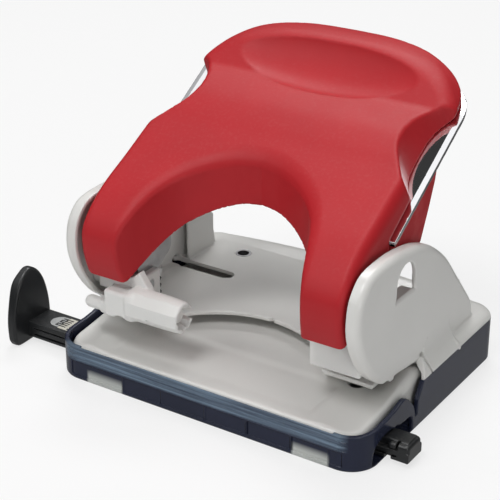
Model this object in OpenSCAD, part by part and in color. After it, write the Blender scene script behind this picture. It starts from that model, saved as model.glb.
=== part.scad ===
// Two-hole desk punch with a lever handle, a chip tray and a pull-out paper guide.
// Origin: midway between the two punch pins, on the plane the tray rests on.
// +X to the user's right, +Y to the rear, +Z up; all sizes in millimetres.

/* [Holes and paper] */
// Distance between the two punched holes
hole_spacing = 80; // [76:1:84]
// Diameter of a punched hole
hole_d = 5.5; // [5:0.1:6]
// Distance from a hole's centre to the sheet's edge
edge_distance = 12; // [11:0.5:13]
// Height of the slot that the sheets go in
paper_gap = 3.5; // [2.5:0.1:3.6]

/* [Base] */
// From a cheek's outer face to the tray's side
tray_margin = 4.4; // [3.9:0.1:6]
// Distance from the pins to the tray's front face
base_front = 29; // [28.5:0.1:30]
// Distance from the pins to the tray's rear face
base_rear = 63.5; // [63:0.1:66]
// Height of the tray's rear half
tray_h = 14.8; // [14:0.1:14.8]
// Wall of the tray
tray_wall = 1.6; // [1.4:0.1:2]
// Height of the table that the sheets lie on
table_top = 13; // [12.5:0.1:13]
// Thickness of the pressed steel plates
sheet = 1.5; // [1.2:0.1:1.6]

/* [Frame] */
// Air between the red cover and a cheek's rim
cheek_air = 1; // [0.6:0.1:2]
// Top of the cheeks
cheek_top = 61.5; // [60:0.5:63]
// Depth of the rim turned in round a cheek
cheek_flange = 4.7; // [4:0.1:4.7]
// Radius of the cut-out in the frame's front edge
throat_r = 34; // [32:0.5:35]

/* [Lever] */
// Swing of the handle when it is pressed
press_angle = 30; // [20:1:30]
// Slope of the lever plate at rest
lever_slope = 32; // [31:0.5:33]
// Wall of the red cover
cover_wall = 1.9; // [1.6:0.1:2.2]
// Height of the middle of the palm rest
handle_top = 104.1; // [103:0.1:105]
// How much each scoop narrows the handle at its waist
scoop_depth = 9.4; // [8:0.1:11]

/* [Paper guide] */
// Length of the guide bar
guide_len = 146; // [135:1:150]
// How far the guide bar pulls out
guide_travel = 73; // [50:1:75]
// Height of the stop fin
fin_h = 27; // [22:0.5:30]

/* [Hidden] */
$fn = 48;
eps = 0.01;

// Colours of the real pieces
red_plastic = [0.72, 0.14, 0.16];
grey_paint = [0.84, 0.84, 0.82];
white_plastic = [0.90, 0.90, 0.89];
smoke_plastic = [0.13, 0.15, 0.21];
black_plastic = [0.13, 0.13, 0.14];
chrome_steel = [0.80, 0.81, 0.83];
dull_steel = [0.50, 0.50, 0.51];

// Fits
running = 0.05;     // radial clearance of a shaft in its hole
face_gap = 0.3;     // air between faces of pieces that pass each other
pass_gap = 0.4;     // air between the pin's ring and the arms that pass it

// Widths, from a pin outwards: ring, arms, cover, cheek, tray
pin_x = hole_spacing / 2;
pin_r = hole_d / 2;
arm_t = 1.5;
ring_r = pin_r + 1.55;
arm_out = pin_x + ring_r + pass_gap + arm_t;    // outer face of the outer arm
arm_in = pin_x - ring_r - pass_gap - arm_t;     // inner face of the inner arm
cover_half_w = arm_out + 0.2 + cover_wall;
cheek_x = cover_half_w + cheek_air + cheek_flange;
tray_half_w = cheek_x + tray_margin;

// Heights of the stack, from the table up
table_under = table_top - sheet;
frame_under = table_top + paper_gap;
frame_top = frame_under + sheet;

// Lever plate: a plane through this point of its underside
plate_y = 4;
plate_z = 59.6;
plate_t = 1.6;
plate_rise = tan(lever_slope);
plate_t_z = plate_t / cos(lever_slope);
function plate_under(y) = plate_z + plate_rise * (y - plate_y);

// ---------------------------------------------------------------- helpers

// A closed or open line through a few points, rounded as a Catmull-Rom curve
function on_curve(a, b, c, d, t) =
    0.5 * (2 * b + (c - a) * t + (2 * a - 5 * b + 4 * c - d) * t * t
           + (3 * b - a - 3 * c + d) * t * t * t);
function curve(p, steps = 4) = [
    for (i = [0 : len(p) - 2])
        for (s = [0 : steps - 1])
            on_curve(p[max(i - 1, 0)], p[i], p[i + 1], p[min(i + 2, len(p) - 1)], s / steps),
    p[len(p) - 1]];

// Points of an arc in a plane
function arc(centre, r, from, to, steps = 8) = [
    for (i = [0 : steps])
        let (a = from + (to - from) * i / steps)
            [centre[0] + r * cos(a), centre[1] + r * sin(a)]];

// A clockwise outline, moved inwards by d
function unit(v) = v / norm(v);
function inset(p, d) = [
    for (i = [0 : len(p) - 1])
        let (before = unit(p[i] - p[(i + len(p) - 1) % len(p)]),
             after = unit(p[(i + 1) % len(p)] - p[i]),
             n1 = [before[1], -before[0]],
             n2 = [after[1], -after[0]],
             m = (n1 + n2) / (1 + n1 * n2))
            p[i] + m * d];

// An open line running clockwise, moved inwards by d
function lowered(p, d) = [
    for (i = [0 : len(p) - 1])
        let (before = unit(p[max(i, 1)] - p[max(i, 1) - 1]),
             after = unit(p[min(i + 1, len(p) - 1)] - p[min(i, len(p) - 2)]),
             n1 = [before[1], -before[0]],
             n2 = [after[1], -after[0]],
             m = (n1 + n2) / (1 + n1 * n2))
            p[i] + m * d];

// An outline in Y and Z, given its thickness along X
module side_plate(points, x_from, x_to)
    translate([x_from, 0, 0])
        rotate([90, 0, 90])
            linear_extrude(x_to - x_from) polygon(points);

// A rod along X
module x_rod(r, x_from, x_to, y, z)
    translate([x_from, y, z])
        rotate([0, 90, 0])
            cylinder(r = r, h = x_to - x_from);

// Both mirror images of a piece that stands on one side
module on_both_sides() {
    children();
    mirror([1, 0, 0]) children();
}

// A profile of [depth inwards, height] points, run round a rounded rectangle
module rim(half_x, y_front, y_rear, r_front, r_rear, profile) {
    module straight(r, length)
        rotate([90, 0, 0])
            linear_extrude(length)
                polygon([for (q = profile) [r - q[0], q[1]]]);
    module corner(r)
        rotate_extrude(angle = 90, $fn = 48)
            polygon([for (q = profile) [r - q[0], q[1]]]);
    side_len = y_rear - r_rear - y_front - r_front;
    on_both_sides() {
        translate([half_x - r_rear, y_rear - r_rear, 0]) corner(r_rear);
        translate([half_x - r_front, y_front + r_front, 0]) rotate([0, 0, -90]) corner(r_front);
        translate([half_x - r_front, y_rear - r_rear, 0]) straight(r_front, side_len);
    }
    translate([half_x - r_front, y_front + r_front, 0])
        rotate([0, 0, -90]) straight(r_front, 2 * (half_x - r_front));
    translate([r_rear - half_x, y_rear - r_rear, 0])
        rotate([0, 0, 90]) straight(r_rear, 2 * (half_x - r_rear));
}

// A slab with rounded corners, each end with its own radius
module rounded_slab(half_x, y_front, y_rear, r_front, r_rear, z_low, z_high) {
    translate([0, 0, z_low]) linear_extrude(z_high - z_low) {
        on_both_sides() {
            translate([half_x - r_front, y_front + r_front]) circle(r_front);
            translate([half_x - r_rear, y_rear - r_rear]) circle(r_rear);
        }
        translate([r_front - half_x, y_front])
            square([2 * (half_x - r_front), y_rear - y_front - r_rear]);
        translate([-half_x, y_front + r_front])
            square([2 * half_x, y_rear - r_rear - y_front - r_front]);
        translate([r_rear - half_x, y_front + r_front])
            square([2 * (half_x - r_rear), y_rear - y_front - r_front]);
    }
}

// ------------------------------------------------------------ paper guide

guide_y0 = -17;         // front face of the bar
guide_w = 9;
guide_z0 = 1.75;        // just clear of the tray's floor
guide_flange_h = 3.4;
guide_rib_h = 6;
guide_right = tray_half_w + 8.6;        // free right end at rest
guide_left = guide_right - guide_len;
fin_t = 4.2;
fin_w = 19.5;
fin_y = guide_y0 + 1.7;

// Flat bar with a raised rib along its top
module guide_bar() {
    nose = 2.5;         // rounding of the free end
    color(black_plastic) difference() {
        union() {
            translate([guide_left, guide_y0, guide_z0])
                cube([guide_len - nose, guide_w, guide_flange_h]);
            translate([guide_left, guide_y0 + nose, guide_z0])
                cube([guide_len, guide_w - 2 * nose, guide_flange_h]);
            for (y = [guide_y0 + nose, guide_y0 + guide_w - nose])
                translate([guide_right - nose, y, guide_z0])
                    cylinder(r = nose, h = guide_flange_h);
            translate([guide_left, guide_y0 + 1.8, guide_z0])
                cube([guide_len - 1, guide_w - 2.8, guide_rib_h]);
        }
        // Groove along the front face
        translate([guide_left + 6, guide_y0 - eps, guide_z0 + 1.3])
            cube([guide_len - 12, 0.6, 0.9]);
    }
}

// Upright stop at the left end, which the sheet's side edge meets
module stop_fin() {
    half = fin_w / 2;
    low = 0.9;
    crown = 23;         // height of the rounded top above the straight sides
    outline = concat(
        [[fin_y - half + 1.5, low], [fin_y - half, low + 2]],
        [for (i = [0 : 16]) let (a = 180 - 180 * i / 16)
            [fin_y + half * cos(a), fin_h - crown + crown * sin(a)]],
        [[fin_y + half, low + 2], [fin_y + half - 1.5, low]]);
    color(black_plastic) difference() {
        side_plate(outline, guide_left - fin_t, guide_left);
        // Shallow dish for the finger on the outer face
        translate([guide_left - fin_t - 38.8, fin_y, 17]) sphere(r = 40, $fn = 64);
    }
}

// Bowed leaf that holds the bar where it is put
module guide_leaf_spring() {
    bow_r = 60;
    half_angle = 12;
    thick = 0.5;
    y_touch = guide_y0 + guide_w + 0.04;
    outer = arc([0, y_touch + bow_r], bow_r, 270 - half_angle, 270 + half_angle);
    inner = arc([0, y_touch + bow_r], bow_r - thick, 270 + half_angle, 270 - half_angle);
    color(dull_steel) translate([0, 0, 2.2]) linear_extrude(3.2) polygon(concat(outer, inner));
}

// -------------------------------------------------------------- chip tray

tray_front_r = 9.5;
tray_rear_r = 8;
slit_y = edge_distance - 3.4;       // rear edge of the slit, at the rim
hinge_y = base_rear - 2.2;
hinge_z = 12.5;
hinge_bead_r = 2.2;
hinge_rod_r = 1;
ear_x = pin_x - 8;
ear_w = 4;
hinge_half_len = ear_x + 6;
bead_half_len = tray_half_w - tray_rear_r - 0.4;
tray_room = tray_half_w - tray_wall + 0.1;      // reach of the ribs into the walls
tray_past = tray_half_w + 2;                    // cuts run this far past the sides

// Top of the wall: low under the table's front lip, a shoulder beside the lever, a slit
tray_wave = concat(
    curve([[-base_front - 1, 9.3], [-base_front + 3.6, 9.5], [-base_front + 6.8, 11.6],
           [-16, 12.7], [-9, 13.2], [slit_y - 13, 14.2], [slit_y - 10.2, 14.1],
           [slit_y - 7.2, 11.4], [slit_y - 5.2, 8.4], [slit_y - 4.5, 5]]),
    [[slit_y - 3.4, 5], [slit_y - 3.1, 10], [slit_y, tray_h], [slit_y, 20],
     [-base_front - 1, 20]]);

// Tray under the whole base; it catches the chips and swings down to be emptied
module chip_tray() {
    y0 = -base_front;
    foot_half = tray_half_w - tray_front_r - 2.9;
    wall_profile = [[0, 1.2], [1.2, 0], [tray_wall + 1, 0], [tray_wall + 1, tray_wall],
                    [tray_wall, tray_wall + 1], [tray_wall, tray_h], [0, tray_h]];
    color(smoke_plastic) difference() {
        union() {
            rim(tray_half_w, y0, base_rear, tray_front_r, tray_rear_r, wall_profile);
            rounded_slab(tray_half_w - 2.2, y0 + 2.2, base_rear - 2.2, tray_front_r - 2.2,
                         tray_rear_r - 2.2, 0, tray_wall);
            // Bead along the rear edge, bored for the hinge rod
            x_rod(hinge_bead_r, -bead_half_len, bead_half_len, hinge_y, hinge_z);
            // Foot moulding that thickens the lower front wall
            translate([-foot_half, y0 + 1, 0.8]) cube([2 * foot_half, 2, 5.6]);
            // Ribs that the guide bar slides between
            on_both_sides() {
                translate([20, guide_y0 + guide_w + 0.15, eps])
                    cube([tray_room - 20, 1.3, 6]);
                translate([10.8, guide_y0 + guide_w + 1.9, eps]) cube([2.6, 3, 5.6]);
            }
            translate([-tray_room, guide_y0 - 1.45, eps]) cube([2 * tray_room, 1.3, 4.6]);
        }
        // The rear wall stays low, so that it clears the frame as the tray swings
        translate([-tray_past, hinge_y - hinge_bead_r, hinge_z + 1.1])
            cube([2 * tray_past, 6, 5]);
        x_rod(hinge_rod_r + running, -hinge_half_len - 0.2, hinge_half_len + 0.2,
              hinge_y, hinge_z);
        // Gaps in the bead for the table plate's ears
        for (s = [-1, 1])
            translate([s * ear_x - ear_w / 2 - face_gap, hinge_y - hinge_bead_r - 1, hinge_z - 3])
                cube([ear_w + 2 * face_gap, 2 * hinge_bead_r + 2, 6]);
        side_plate(tray_wave, -tray_past, tray_past);
        // Passages for the guide bar
        for (s = [-1, 1])
            translate([s * tray_half_w - 3, guide_y0 - 0.15, guide_z0 - 0.1])
                cube([6, guide_w + 0.3, guide_rib_h + 0.5]);
    }
}

// Steel rod that the tray swings on
module tray_hinge_rod()
    color(dull_steel)
        x_rod(hinge_rod_r, -hinge_half_len, hinge_half_len, hinge_y, hinge_z);

// ------------------------------------------------------------ table plate

table_half_w = tray_half_w - tray_wall - 1.5;
table_front = 0.6 - base_front;
table_rear = base_rear - 5;
table_lip = 9.6;        // how low the turned-down edge reaches
die_r = 4.5;
eyelet_x = pin_x - 4.5;
eyelet_y = base_rear - 13.5;
eyelet_r = 2.8;

// Raised land along each side, which rises to the slot for the sheets
land_in = pin_x + 10.3;
land_front = 11 - base_front;
land_line = [[land_front, table_top - 0.7], [-12, table_top + 0.1], [-3, table_top + 1.3],
             [6, table_top + 2.4], [edge_distance, table_top + 3.1],
             [edge_distance + 2.1, table_top + 3.1]];
module side_lands()
    on_both_sides()
        side_plate(concat(land_line, [[edge_distance + 2.1, table_under],
                                      [land_front, table_under]]),
                   land_in, table_half_w - 1.2);

// Pressed table with turned-down edges, die holes and ears for the tray's hinge
module table_plate() {
    roll = 2.4;
    outer = arc([roll, table_top - roll], roll, 90, 180, 6);
    inner = arc([roll, table_top - roll], roll - sheet, 180, 90, 6);
    // Measured inwards from the edge, so the arc's X runs backwards
    lip = concat(outer, [[0, table_lip], [sheet, table_lip]], inner);
    color(grey_paint) difference() {
        union() {
            rounded_slab(table_half_w - roll + eps, table_front + roll - eps,
                         table_rear - roll + eps, 9 - roll, 6 - roll, table_under, table_top);
            rim(table_half_w, table_front, table_rear, 9, 6, lip);
            side_lands();
            for (s = [-1, 1]) {
                translate([s * ear_x - ear_w / 2, table_rear - 3, table_under])
                    cube([ear_w, hinge_y - table_rear + 3, sheet]);
                x_rod(hinge_bead_r, s * ear_x - ear_w / 2, s * ear_x + ear_w / 2,
                      hinge_y, hinge_z);
            }
        }
        for (s = [-1, 1]) {
            translate([s * pin_x, 0, 0]) cylinder(r = die_r, h = 20);
            translate([s * eyelet_x, eyelet_y, 0]) cylinder(r = eyelet_r, h = 20);
        }
        x_rod(hinge_rod_r + running, -hinge_half_len, hinge_half_len, hinge_y, hinge_z);
    }
}

// Hardened ring that a pin cuts against
module die(side)
    color(dull_steel) translate([side * pin_x, 0, table_top - 2.5]) difference() {
        cylinder(r = die_r, h = 2.5);
        translate([0, 0, -1]) cylinder(r = pin_r + 0.08, h = 5);
    }

// Pad between the plates that the sheet's edge stops at
module paper_stop(side)
    color(dull_steel)
        translate([side * pin_x - 10, edge_distance, table_top])
            cube([20, 3, paper_gap]);

// Strip that keeps the plates apart at the rear
module rear_spacer() {
    half = eyelet_x + 12.5;
    color(dull_steel) difference() {
        translate([-half, eyelet_y - 6, table_top]) cube([2 * half, 11, paper_gap]);
        for (s = [-1, 1])
            translate([s * eyelet_x, eyelet_y, 0]) cylinder(r = eyelet_r, h = 20);
    }
}

// Two hollow rivets that clamp the frame, the spacer and the table together
module rear_eyelets()
    color(dull_steel) for (s = [-1, 1]) translate([s * eyelet_x, eyelet_y, 0]) difference() {
        union() {
            translate([0, 0, table_under - 0.6]) cylinder(r = eyelet_r + 1, h = 0.6);
            translate([0, 0, table_under - 0.3])
                cylinder(r = eyelet_r, h = frame_top - table_under + 0.3);
        }
        cylinder(r = eyelet_r - 0.7, h = 30);
    }

// ------------------------------------------------------------------ frame

frame_front = -5.6;
throat_y = -21;                     // centre of the cut-out in the front edge
cheek_rear = base_rear - 11.1;
skirt_y = edge_distance + 3;        // where the side opening for the sheets ends
relief_y = base_rear - 32;          // slot where a cheek's bend ends and the skirt starts
relief_w = 2.6;
skirt_low = tray_h + 0.2;
bush_r = 4;

// Side outline of a cheek, clockwise from its front tip
nose_c = [-9.5, 45];
nose_r = cheek_top - nose_c[1];
back_c = [-4, 11];
back_r = cheek_top - back_c[1];
cheek_outline = concat(
    [[-7.2, frame_top + 2.2]],
    arc(nose_c, nose_r, 222, 90, 12),
    arc(back_c, back_r, 90, 38, 10),
    [[cheek_rear - 1.8, 25.6], [cheek_rear - 0.4, 22.5], [cheek_rear, frame_under],
     [skirt_y, frame_under], [skirt_y, frame_top - 0.4], [1, frame_top + 1.5]]);

// Arched window through a cheek
window_y = 2.5;
window_z = 46.4;
window_r = 5.8;
window_straight = 4.6;
module cheek_window() {
    translate([cheek_x - 10, window_y - window_r, window_z])
        cube([20, 2 * window_r, window_straight]);
    x_rod(window_r, cheek_x - 10, cheek_x + 10, window_y, window_z + window_straight);
}

// One cheek: a plate with a rim turned in round its front, top and rear
module cheek() {
    difference() {
        side_plate(cheek_outline, cheek_x - cheek_flange, cheek_x);
        // Hollow behind the face; it opens downwards on to the plate
        difference() {
            side_plate(inset(cheek_outline, sheet), cheek_x - cheek_flange - 1, cheek_x - sheet);
            translate([0, -60, 0]) cube([100, 120, frame_top]);
        }
        // Beside the sheets the hollow is open below, for the bearing's foot
        translate([cheek_x - cheek_flange - 1, -5, frame_top - 1])
            cube([cheek_flange + 1 - sheet, skirt_y + 4, 5]);
        cheek_window();
    }
    // Tab bent in at the bottom of the window
    translate([cheek_x - cheek_flange, window_y - window_r + 0.4, window_z - sheet])
        cube([cheek_flange - sheet + eps, 2 * window_r - 0.8, sheet]);
}

// Upper plate with both cheeks bent up from it and a skirt over the tray's rim
module frame() {
    flat = 4.2;
    past = tray_half_w + 12;
    relief_in = cheek_x - 25;
    plate_half_w = cheek_x - cheek_flange - 0.6;    // beside the sheets
    skirt = concat(
        [[flat + 1, frame_under], [flat + 1, frame_top]],
        [for (a = [0 : 15 : 90])
            [flat * (1 - sin(a)), skirt_low + (frame_top - skirt_low) * cos(a)]],
        [[1.3, skirt_low], [flat - 0.4, frame_under]]);
    color(grey_paint) difference() {
        union() {
            difference() {
                union() {
                    rounded_slab(tray_half_w - flat + eps, frame_front - 20,
                                 base_rear - flat + eps, 1, tray_rear_r - flat,
                                 frame_under, frame_top);
                    rim(tray_half_w, -base_front, base_rear, tray_front_r, tray_rear_r, skirt);
                }
                // Everything of the skirt that would stand beside the sheets
                translate([-past, -base_front - 5, 0])
                    cube([2 * past, base_front + 5 + frame_front, 30]);
                for (s = [-1, 1]) {
                    translate([s * past - (past - cheek_x), frame_front - 5, 0])
                        cube([2 * (past - cheek_x), relief_y - frame_front + 5, 30]);
                    // Room for the sheets beside the plate
                    translate([s * past - (past - plate_half_w), frame_front - 5, 0])
                        cube([2 * (past - plate_half_w), skirt_y - frame_front + 5, 30]);
                }
                translate([0, throat_y, 0]) cylinder(r = throat_r, h = 30, $fn = 96);
            }
            on_both_sides() {
                cheek();
                // Foot of the cheek, down on to the table behind the tray's rim
                translate([cheek_x - sheet, skirt_y, table_top])
                    cube([sheet, relief_y - skirt_y, paper_gap + eps]);
            }
        }
        for (s = [-1, 1]) {
            translate([s * pin_x, 0, 0]) cylinder(r = bush_r, h = 25);
            translate([s * eyelet_x, eyelet_y, 0]) cylinder(r = eyelet_r, h = 25);
            // Relief slot where the cheek's bend ends
            translate([s > 0 ? relief_in : -cheek_x - 0.4, relief_y - 0.6, frame_under - 1])
                cube([cheek_x - relief_in + 0.4, relief_w, 4.8]);
            // Notch at the end of the side opening for the sheets
            translate([s * cheek_x - 5, skirt_y - 0.8, 0]) cube([10, 0.8, 20.5]);
        }
        // Mark at the middle of the throat
        translate([0, edge_distance + 0.4, 0]) rotate([0, 0, 45]) cube([2.4, 2.4, 40], center = true);
    }
}

// ------------------------------------------------- pins and their springs

stroke = 10 * (1 - cos(press_angle)) + 10.5 * sin(press_angle);
bush_flange_h = 1;
pin_tip = frame_under + 0.2;
press_bar_r = 2.5;
pivot_y = -10.5;
pivot_z = 31.5;
press_z = pivot_z + 10;             // centre of the bar that bears on the pins
pin_top = press_z - press_bar_r - 0.2;
ring_z = 30;
ring_h = 2;

// Guide for a pin, riveted into the frame plate; the spring stands on it
module guide_bush(side)
    color(white_plastic) translate([side * pin_x, 0, 0]) difference() {
        union() {
            translate([0, 0, frame_under]) cylinder(r = bush_r, h = sheet + eps);
            translate([0, 0, frame_top]) cylinder(r = bush_r + 0.5, h = bush_flange_h);
        }
        cylinder(r = pin_r + running, h = 40);
    }

// Punch pin with a flat head above and a notched cutting edge below
module punch_pin(side)
    color(chrome_steel) translate([side * pin_x, 0, 0]) difference() {
        union() {
            translate([0, 0, pin_tip]) cylinder(r = pin_r, h = pin_top - pin_tip);
            translate([0, 0, pin_top - 1.8]) cylinder(r = ring_r - 0.2, h = 1.8);
        }
        // The cutting edge is a shallow V, so that it bites at two points first
        translate([-5, 0, pin_tip]) rotate([0, 90, 0]) cylinder(r = 1.1, h = 10);
    }

// Ring pressed on the pin, which the spring pushes up
module pin_ring(side)
    color(chrome_steel) translate([side * pin_x, 0, ring_z]) difference() {
        cylinder(r = ring_r, h = ring_h);
        translate([0, 0, -1]) cylinder(r = pin_r, h = 5);
    }

spring_wire_r = 0.45;
spring_r = pin_r + 0.85;
spring_turns = 4;
spring_low = frame_top + bush_flange_h + 0.02;
spring_high = ring_z - 0.02;
spring_pitch = (spring_high - spring_low - 2 * spring_wire_r) / spring_turns;
echo(spring_gap_between_curls_mm = spring_pitch - 2 * spring_wire_r);

// Return spring, as one tube wound round the pin
module return_spring(side) {
    rings = 8 * spring_turns;
    sides = 6;
    function centre(i) =
        [spring_r * cos(45 * i), spring_r * sin(45 * i),
         spring_low + spring_wire_r + spring_pitch * i / 8];
    points = [
        for (i = [0 : rings])
            let (c = centre(i),
                 out = [cos(45 * i), sin(45 * i), 0])
                for (k = [0 : sides - 1])
                    c + spring_wire_r * (out * cos(60 * k) + [0, 0, 1] * sin(60 * k))];
    skin = [
        for (i = [0 : rings - 1])
            for (k = [0 : sides - 1])
                let (a = i * sides + k,
                     b = i * sides + (k + 1) % sides,
                     c = a + sides,
                     d = b + sides)
                    each [[a, c, b], [b, c, d]]];
    caps = [
        for (k = [1 : sides - 2])
            each [[0, k, k + 1],
                  [rings * sides, rings * sides + k + 1, rings * sides + k]]];
    color(black_plastic) translate([side * pin_x, 0, 0])
        polyhedron(points = points, faces = concat(skin, caps));
}

// ------------------------------------------------------- lever and pivots

block_low = 24.3;
block_top = 36;
block_front = -15.6;
block_rear = -5.2;
block_in = arm_in - 2.4;
block_out = cheek_x - sheet;
pivot_r = 2;

// Moulded bearing for the pivot pin, slotted for the two arms
module bearing_block() {
    body_out = cheek_x - cheek_flange - 0.3;
    foot = [[-1.9, frame_top], [-8.9, block_low + 0.2], [-8.9, 30], [0.6, 30],
            [0.6, frame_top]];
    difference() {
        union() {
            translate([block_in, block_front, block_low])
                cube([body_out - block_in, block_rear - block_front, block_top - block_low]);
            // Boss that the cheek holds from outside, and foot on the frame plate
            x_rod(3.8, body_out - eps, block_out, pivot_y, pivot_z);
            side_plate(foot, body_out - 1.8, block_out);
        }
        for (x = [arm_in - 0.25, arm_out - arm_t - 0.25])
            translate([x, block_front + 1.4, pivot_z - 3.8])
                cube([arm_t + 0.5, 20, 20]);
        x_rod(pivot_r, block_in - 1, block_out - 1.5, pivot_y, pivot_z);
    }
}

rail_y = -20.4;
rail_z = 29.8;
rail_r = 2.2;
rail_end = 18.4;                    // reach of the rail past the block
lock_travel = 5;

// Left bearing, with the rail that the lock slides on
module left_bearing_block() color(white_plastic) {
    mirror([1, 0, 0]) bearing_block();
    x_rod(rail_r, -block_in - 3.6, rail_end - block_in, rail_y, rail_z);
    translate([-block_in - 3.6, rail_y, rail_z - 1])
        cube([3, block_front - rail_y + eps, 2]);
}

module right_bearing_block() color(white_plastic) bearing_block();

// Steel pin through the bearing and both arms
module pivot_pin(side)
    color(dull_steel)
        x_rod(pivot_r - running, side > 0 ? block_in + 0.2 : 1.7 - block_out,
              side > 0 ? block_out - 1.7 : -block_in - 0.2, pivot_y, pivot_z);

// Outline of an arm: eye at the pivot, eye at the press bar, top under the plate
arm_front = pivot_y - 3.4;
arm_rear = 9;
module arm_shape() {
    translate([pivot_y, pivot_z]) circle(3.4);
    translate([0, press_z]) circle(4.4);
    polygon([[arm_front, pivot_z], [arm_front, plate_under(arm_front)],
             [arm_rear, plate_under(arm_rear)], [arm_rear, plate_under(arm_rear) - 6],
             [4.2, press_z + 2], [1.6, press_z - 3.8], [pivot_y + 2, pivot_z - 2.6]]);
}

// Channel bracket under the lever plate: two arms joined by a web
module lever_bracket(side) {
    module flat_arm(x)
        translate([x, 0, 0]) rotate([90, 0, 90]) linear_extrude(arm_t) arm_shape();
    web = [[arm_front, plate_under(arm_front) - sheet], [arm_front, plate_under(arm_front)],
           [arm_rear, plate_under(arm_rear)], [arm_rear, plate_under(arm_rear) - sheet]];
    color(dull_steel) mirror([side > 0 ? 0 : 1, 0, 0]) difference() {
        union() {
            flat_arm(arm_in);
            flat_arm(arm_out - arm_t);
            side_plate(web, arm_in, arm_out);
        }
        x_rod(pivot_r, arm_in - 1, arm_out + 1, pivot_y, pivot_z);
        x_rod(press_bar_r, arm_in - 1, arm_out + 1, 0, press_z);
        for (y = [-6, 5]) lever_rivet_hole(y);
    }
}

// Round bar between the arms that pushes the pin down
module press_bar(side)
    color(dull_steel)
        x_rod(press_bar_r, side > 0 ? arm_in : -arm_out, side > 0 ? arm_out : -arm_in,
              0, press_z);

rivet_r = 1.6;
module lever_rivet_hole(y)
    translate([pin_x, y, plate_under(y)])
        rotate([lever_slope, 0, 0]) cylinder(r = rivet_r, h = 20, center = true);

// Rivets that hold the brackets to the lever plate
module lever_rivets()
    color(dull_steel) on_both_sides() for (y = [-6, 5])
        translate([pin_x, y, plate_under(y)]) rotate([lever_slope, 0, 0]) {
            translate([0, 0, -sheet * cos(lever_slope)])
                cylinder(r = rivet_r, h = plate_t + sheet * cos(lever_slope));
            translate([0, 0, plate_t]) cylinder(r = rivet_r + 1, h = 0.8);
        }

// -------------------------------------------------- handle and its cover

// Front edge of the handle's arch, seen from above
arch_apex = 7.3;
function arch_y(x) =
    let (out = x / pin_x) arch_apex - 22.8 * pow(out, 2) - 32.4 * pow(out, 4);
module arch_plan(grow) {
    reach = pin_x - 4;
    polygon(concat([for (i = [-12 : 12]) let (x = i * reach / 12)
                       [x + sign(x) * grow * 0.8, arch_y(x) + grow]],
                   [[reach + grow, -80], [-reach - grow, -80]]));
}

// Rear edge of the handle, seen from above
rear_corner_y = 49.7;
rear_bulge = 15.3;
module rear_plan(half_w, grow)
    polygon(concat([[-half_w, -60], [-half_w, rear_corner_y - 2 + grow]],
                   [for (i = [-10 : 10]) let (x = i * (half_w - 1) / 10)
                       [x, rear_corner_y + grow + rear_bulge * (1 - pow(x / half_w, 2))]],
                   [[half_w, rear_corner_y - 2 + grow], [half_w, -60]]));

// Hand-sized hollows that narrow the handle to its waist, square to the lever plate
scoop_r = 30.5;
module scoops(grow) {
    waist = [0, 28, 87.5];
    for (s = [-1, 1])
        translate(waist + [s * (cover_half_w - scoop_depth + scoop_r), 0, 0])
            rotate([lever_slope, 0, 0])
                cylinder(r = scoop_r + grow, h = 60, center = true, $fn = 96);
}

// Chromed steel plate that the whole handle is built on
module lever_plate() {
    low = arm_front;
    high = 70;
    strip = [[low, plate_under(low)], [low, plate_under(low) + plate_t_z],
             [high, plate_under(high) + plate_t_z], [high, plate_under(high)]];
    color(chrome_steel) difference() {
        intersection() {
            side_plate(strip, -cheek_x, cheek_x);
            linear_extrude(120) rear_plan(cover_half_w + 0.5, 0.6);
        }
        linear_extrude(120) arch_plan(1.9);
        // Within the legs the plate is narrower, inside the cover's walls
        on_both_sides() translate([arm_out, -60, 0]) cube([20, 60 + plate_y + 0.2, 120]);
        on_both_sides() for (y = [-6, 5]) lever_rivet_hole(y);
    }
}

// Middle line of the cover, from the foot of the legs over the palm rest to the rear
cover_top_line = curve(
    [[-22.8, 37], [-25.4, 46.5], [-24.6, 54.2], [-19.5, 60.8], [-11.2, 67], [-1.5, 72.1],
     [13.7, 80.4], [25.7, 87], [32.9, 89.6], [37, 90.6], [39.5, 91.4], [42, 93.3],
     [50, handle_top - 3.5], [53.5, handle_top - 1.1], [57, handle_top - 0.1],
     [61, handle_top], [66, handle_top - 0.9]]);
cover_rear = cover_top_line[len(cover_top_line) - 1][0];
leg_low = [-21.4, 37.2];
leg_rise = 0.797;
function leg_under(y) = leg_low[1] + leg_rise * (y - leg_low[0]);
function plate_over(y) = plate_under(y) + plate_t_z;

// The cover's body moved inwards by d: middle line, crowned cross-section, rounded rear
module cover_body(d, low) {
    crown_low = 90;
    crown = concat([[-cover_half_w, 30]],
                   [for (i = [0 : 24]) let (a = 180 - 7.5 * i)
                       [cover_half_w * cos(a),
                        crown_low + (handle_top - crown_low) * sin(a)]],
                   [[cover_half_w, 30]]);
    difference() {
        intersection() {
            side_plate(concat(lowered(cover_top_line, d), low), -cover_half_w, cover_half_w);
            translate([0, 80, 0]) rotate([90, 0, 0])
                linear_extrude(120) polygon(inset(crown, d));
            linear_extrude(120) rear_plan(cover_half_w - d, -d);
        }
        shoulder_cut(d);
    }
}

// Everything above the soft shoulders, where the top falls towards the cover's sides
module shoulder_cut(d) {
    from = [-11.2, 67];
    to = [25.7, 87];
    fall = 0.45;
    wide = 4.4;         // reach of the shoulder in from the side
    steep = atan2(to[1] - from[1], to[0] - from[0]);
    on_both_sides()
        translate([cover_half_w, from[0], from[1]])
            rotate([steep - 90, 0, 0])
                translate([0, d, -15])
                    linear_extrude(60)
                        polygon([[1, (wide + 1) * fall], [-15, (wide - 15) * fall],
                                 [1, (wide - 15) * fall]]);
}

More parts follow.
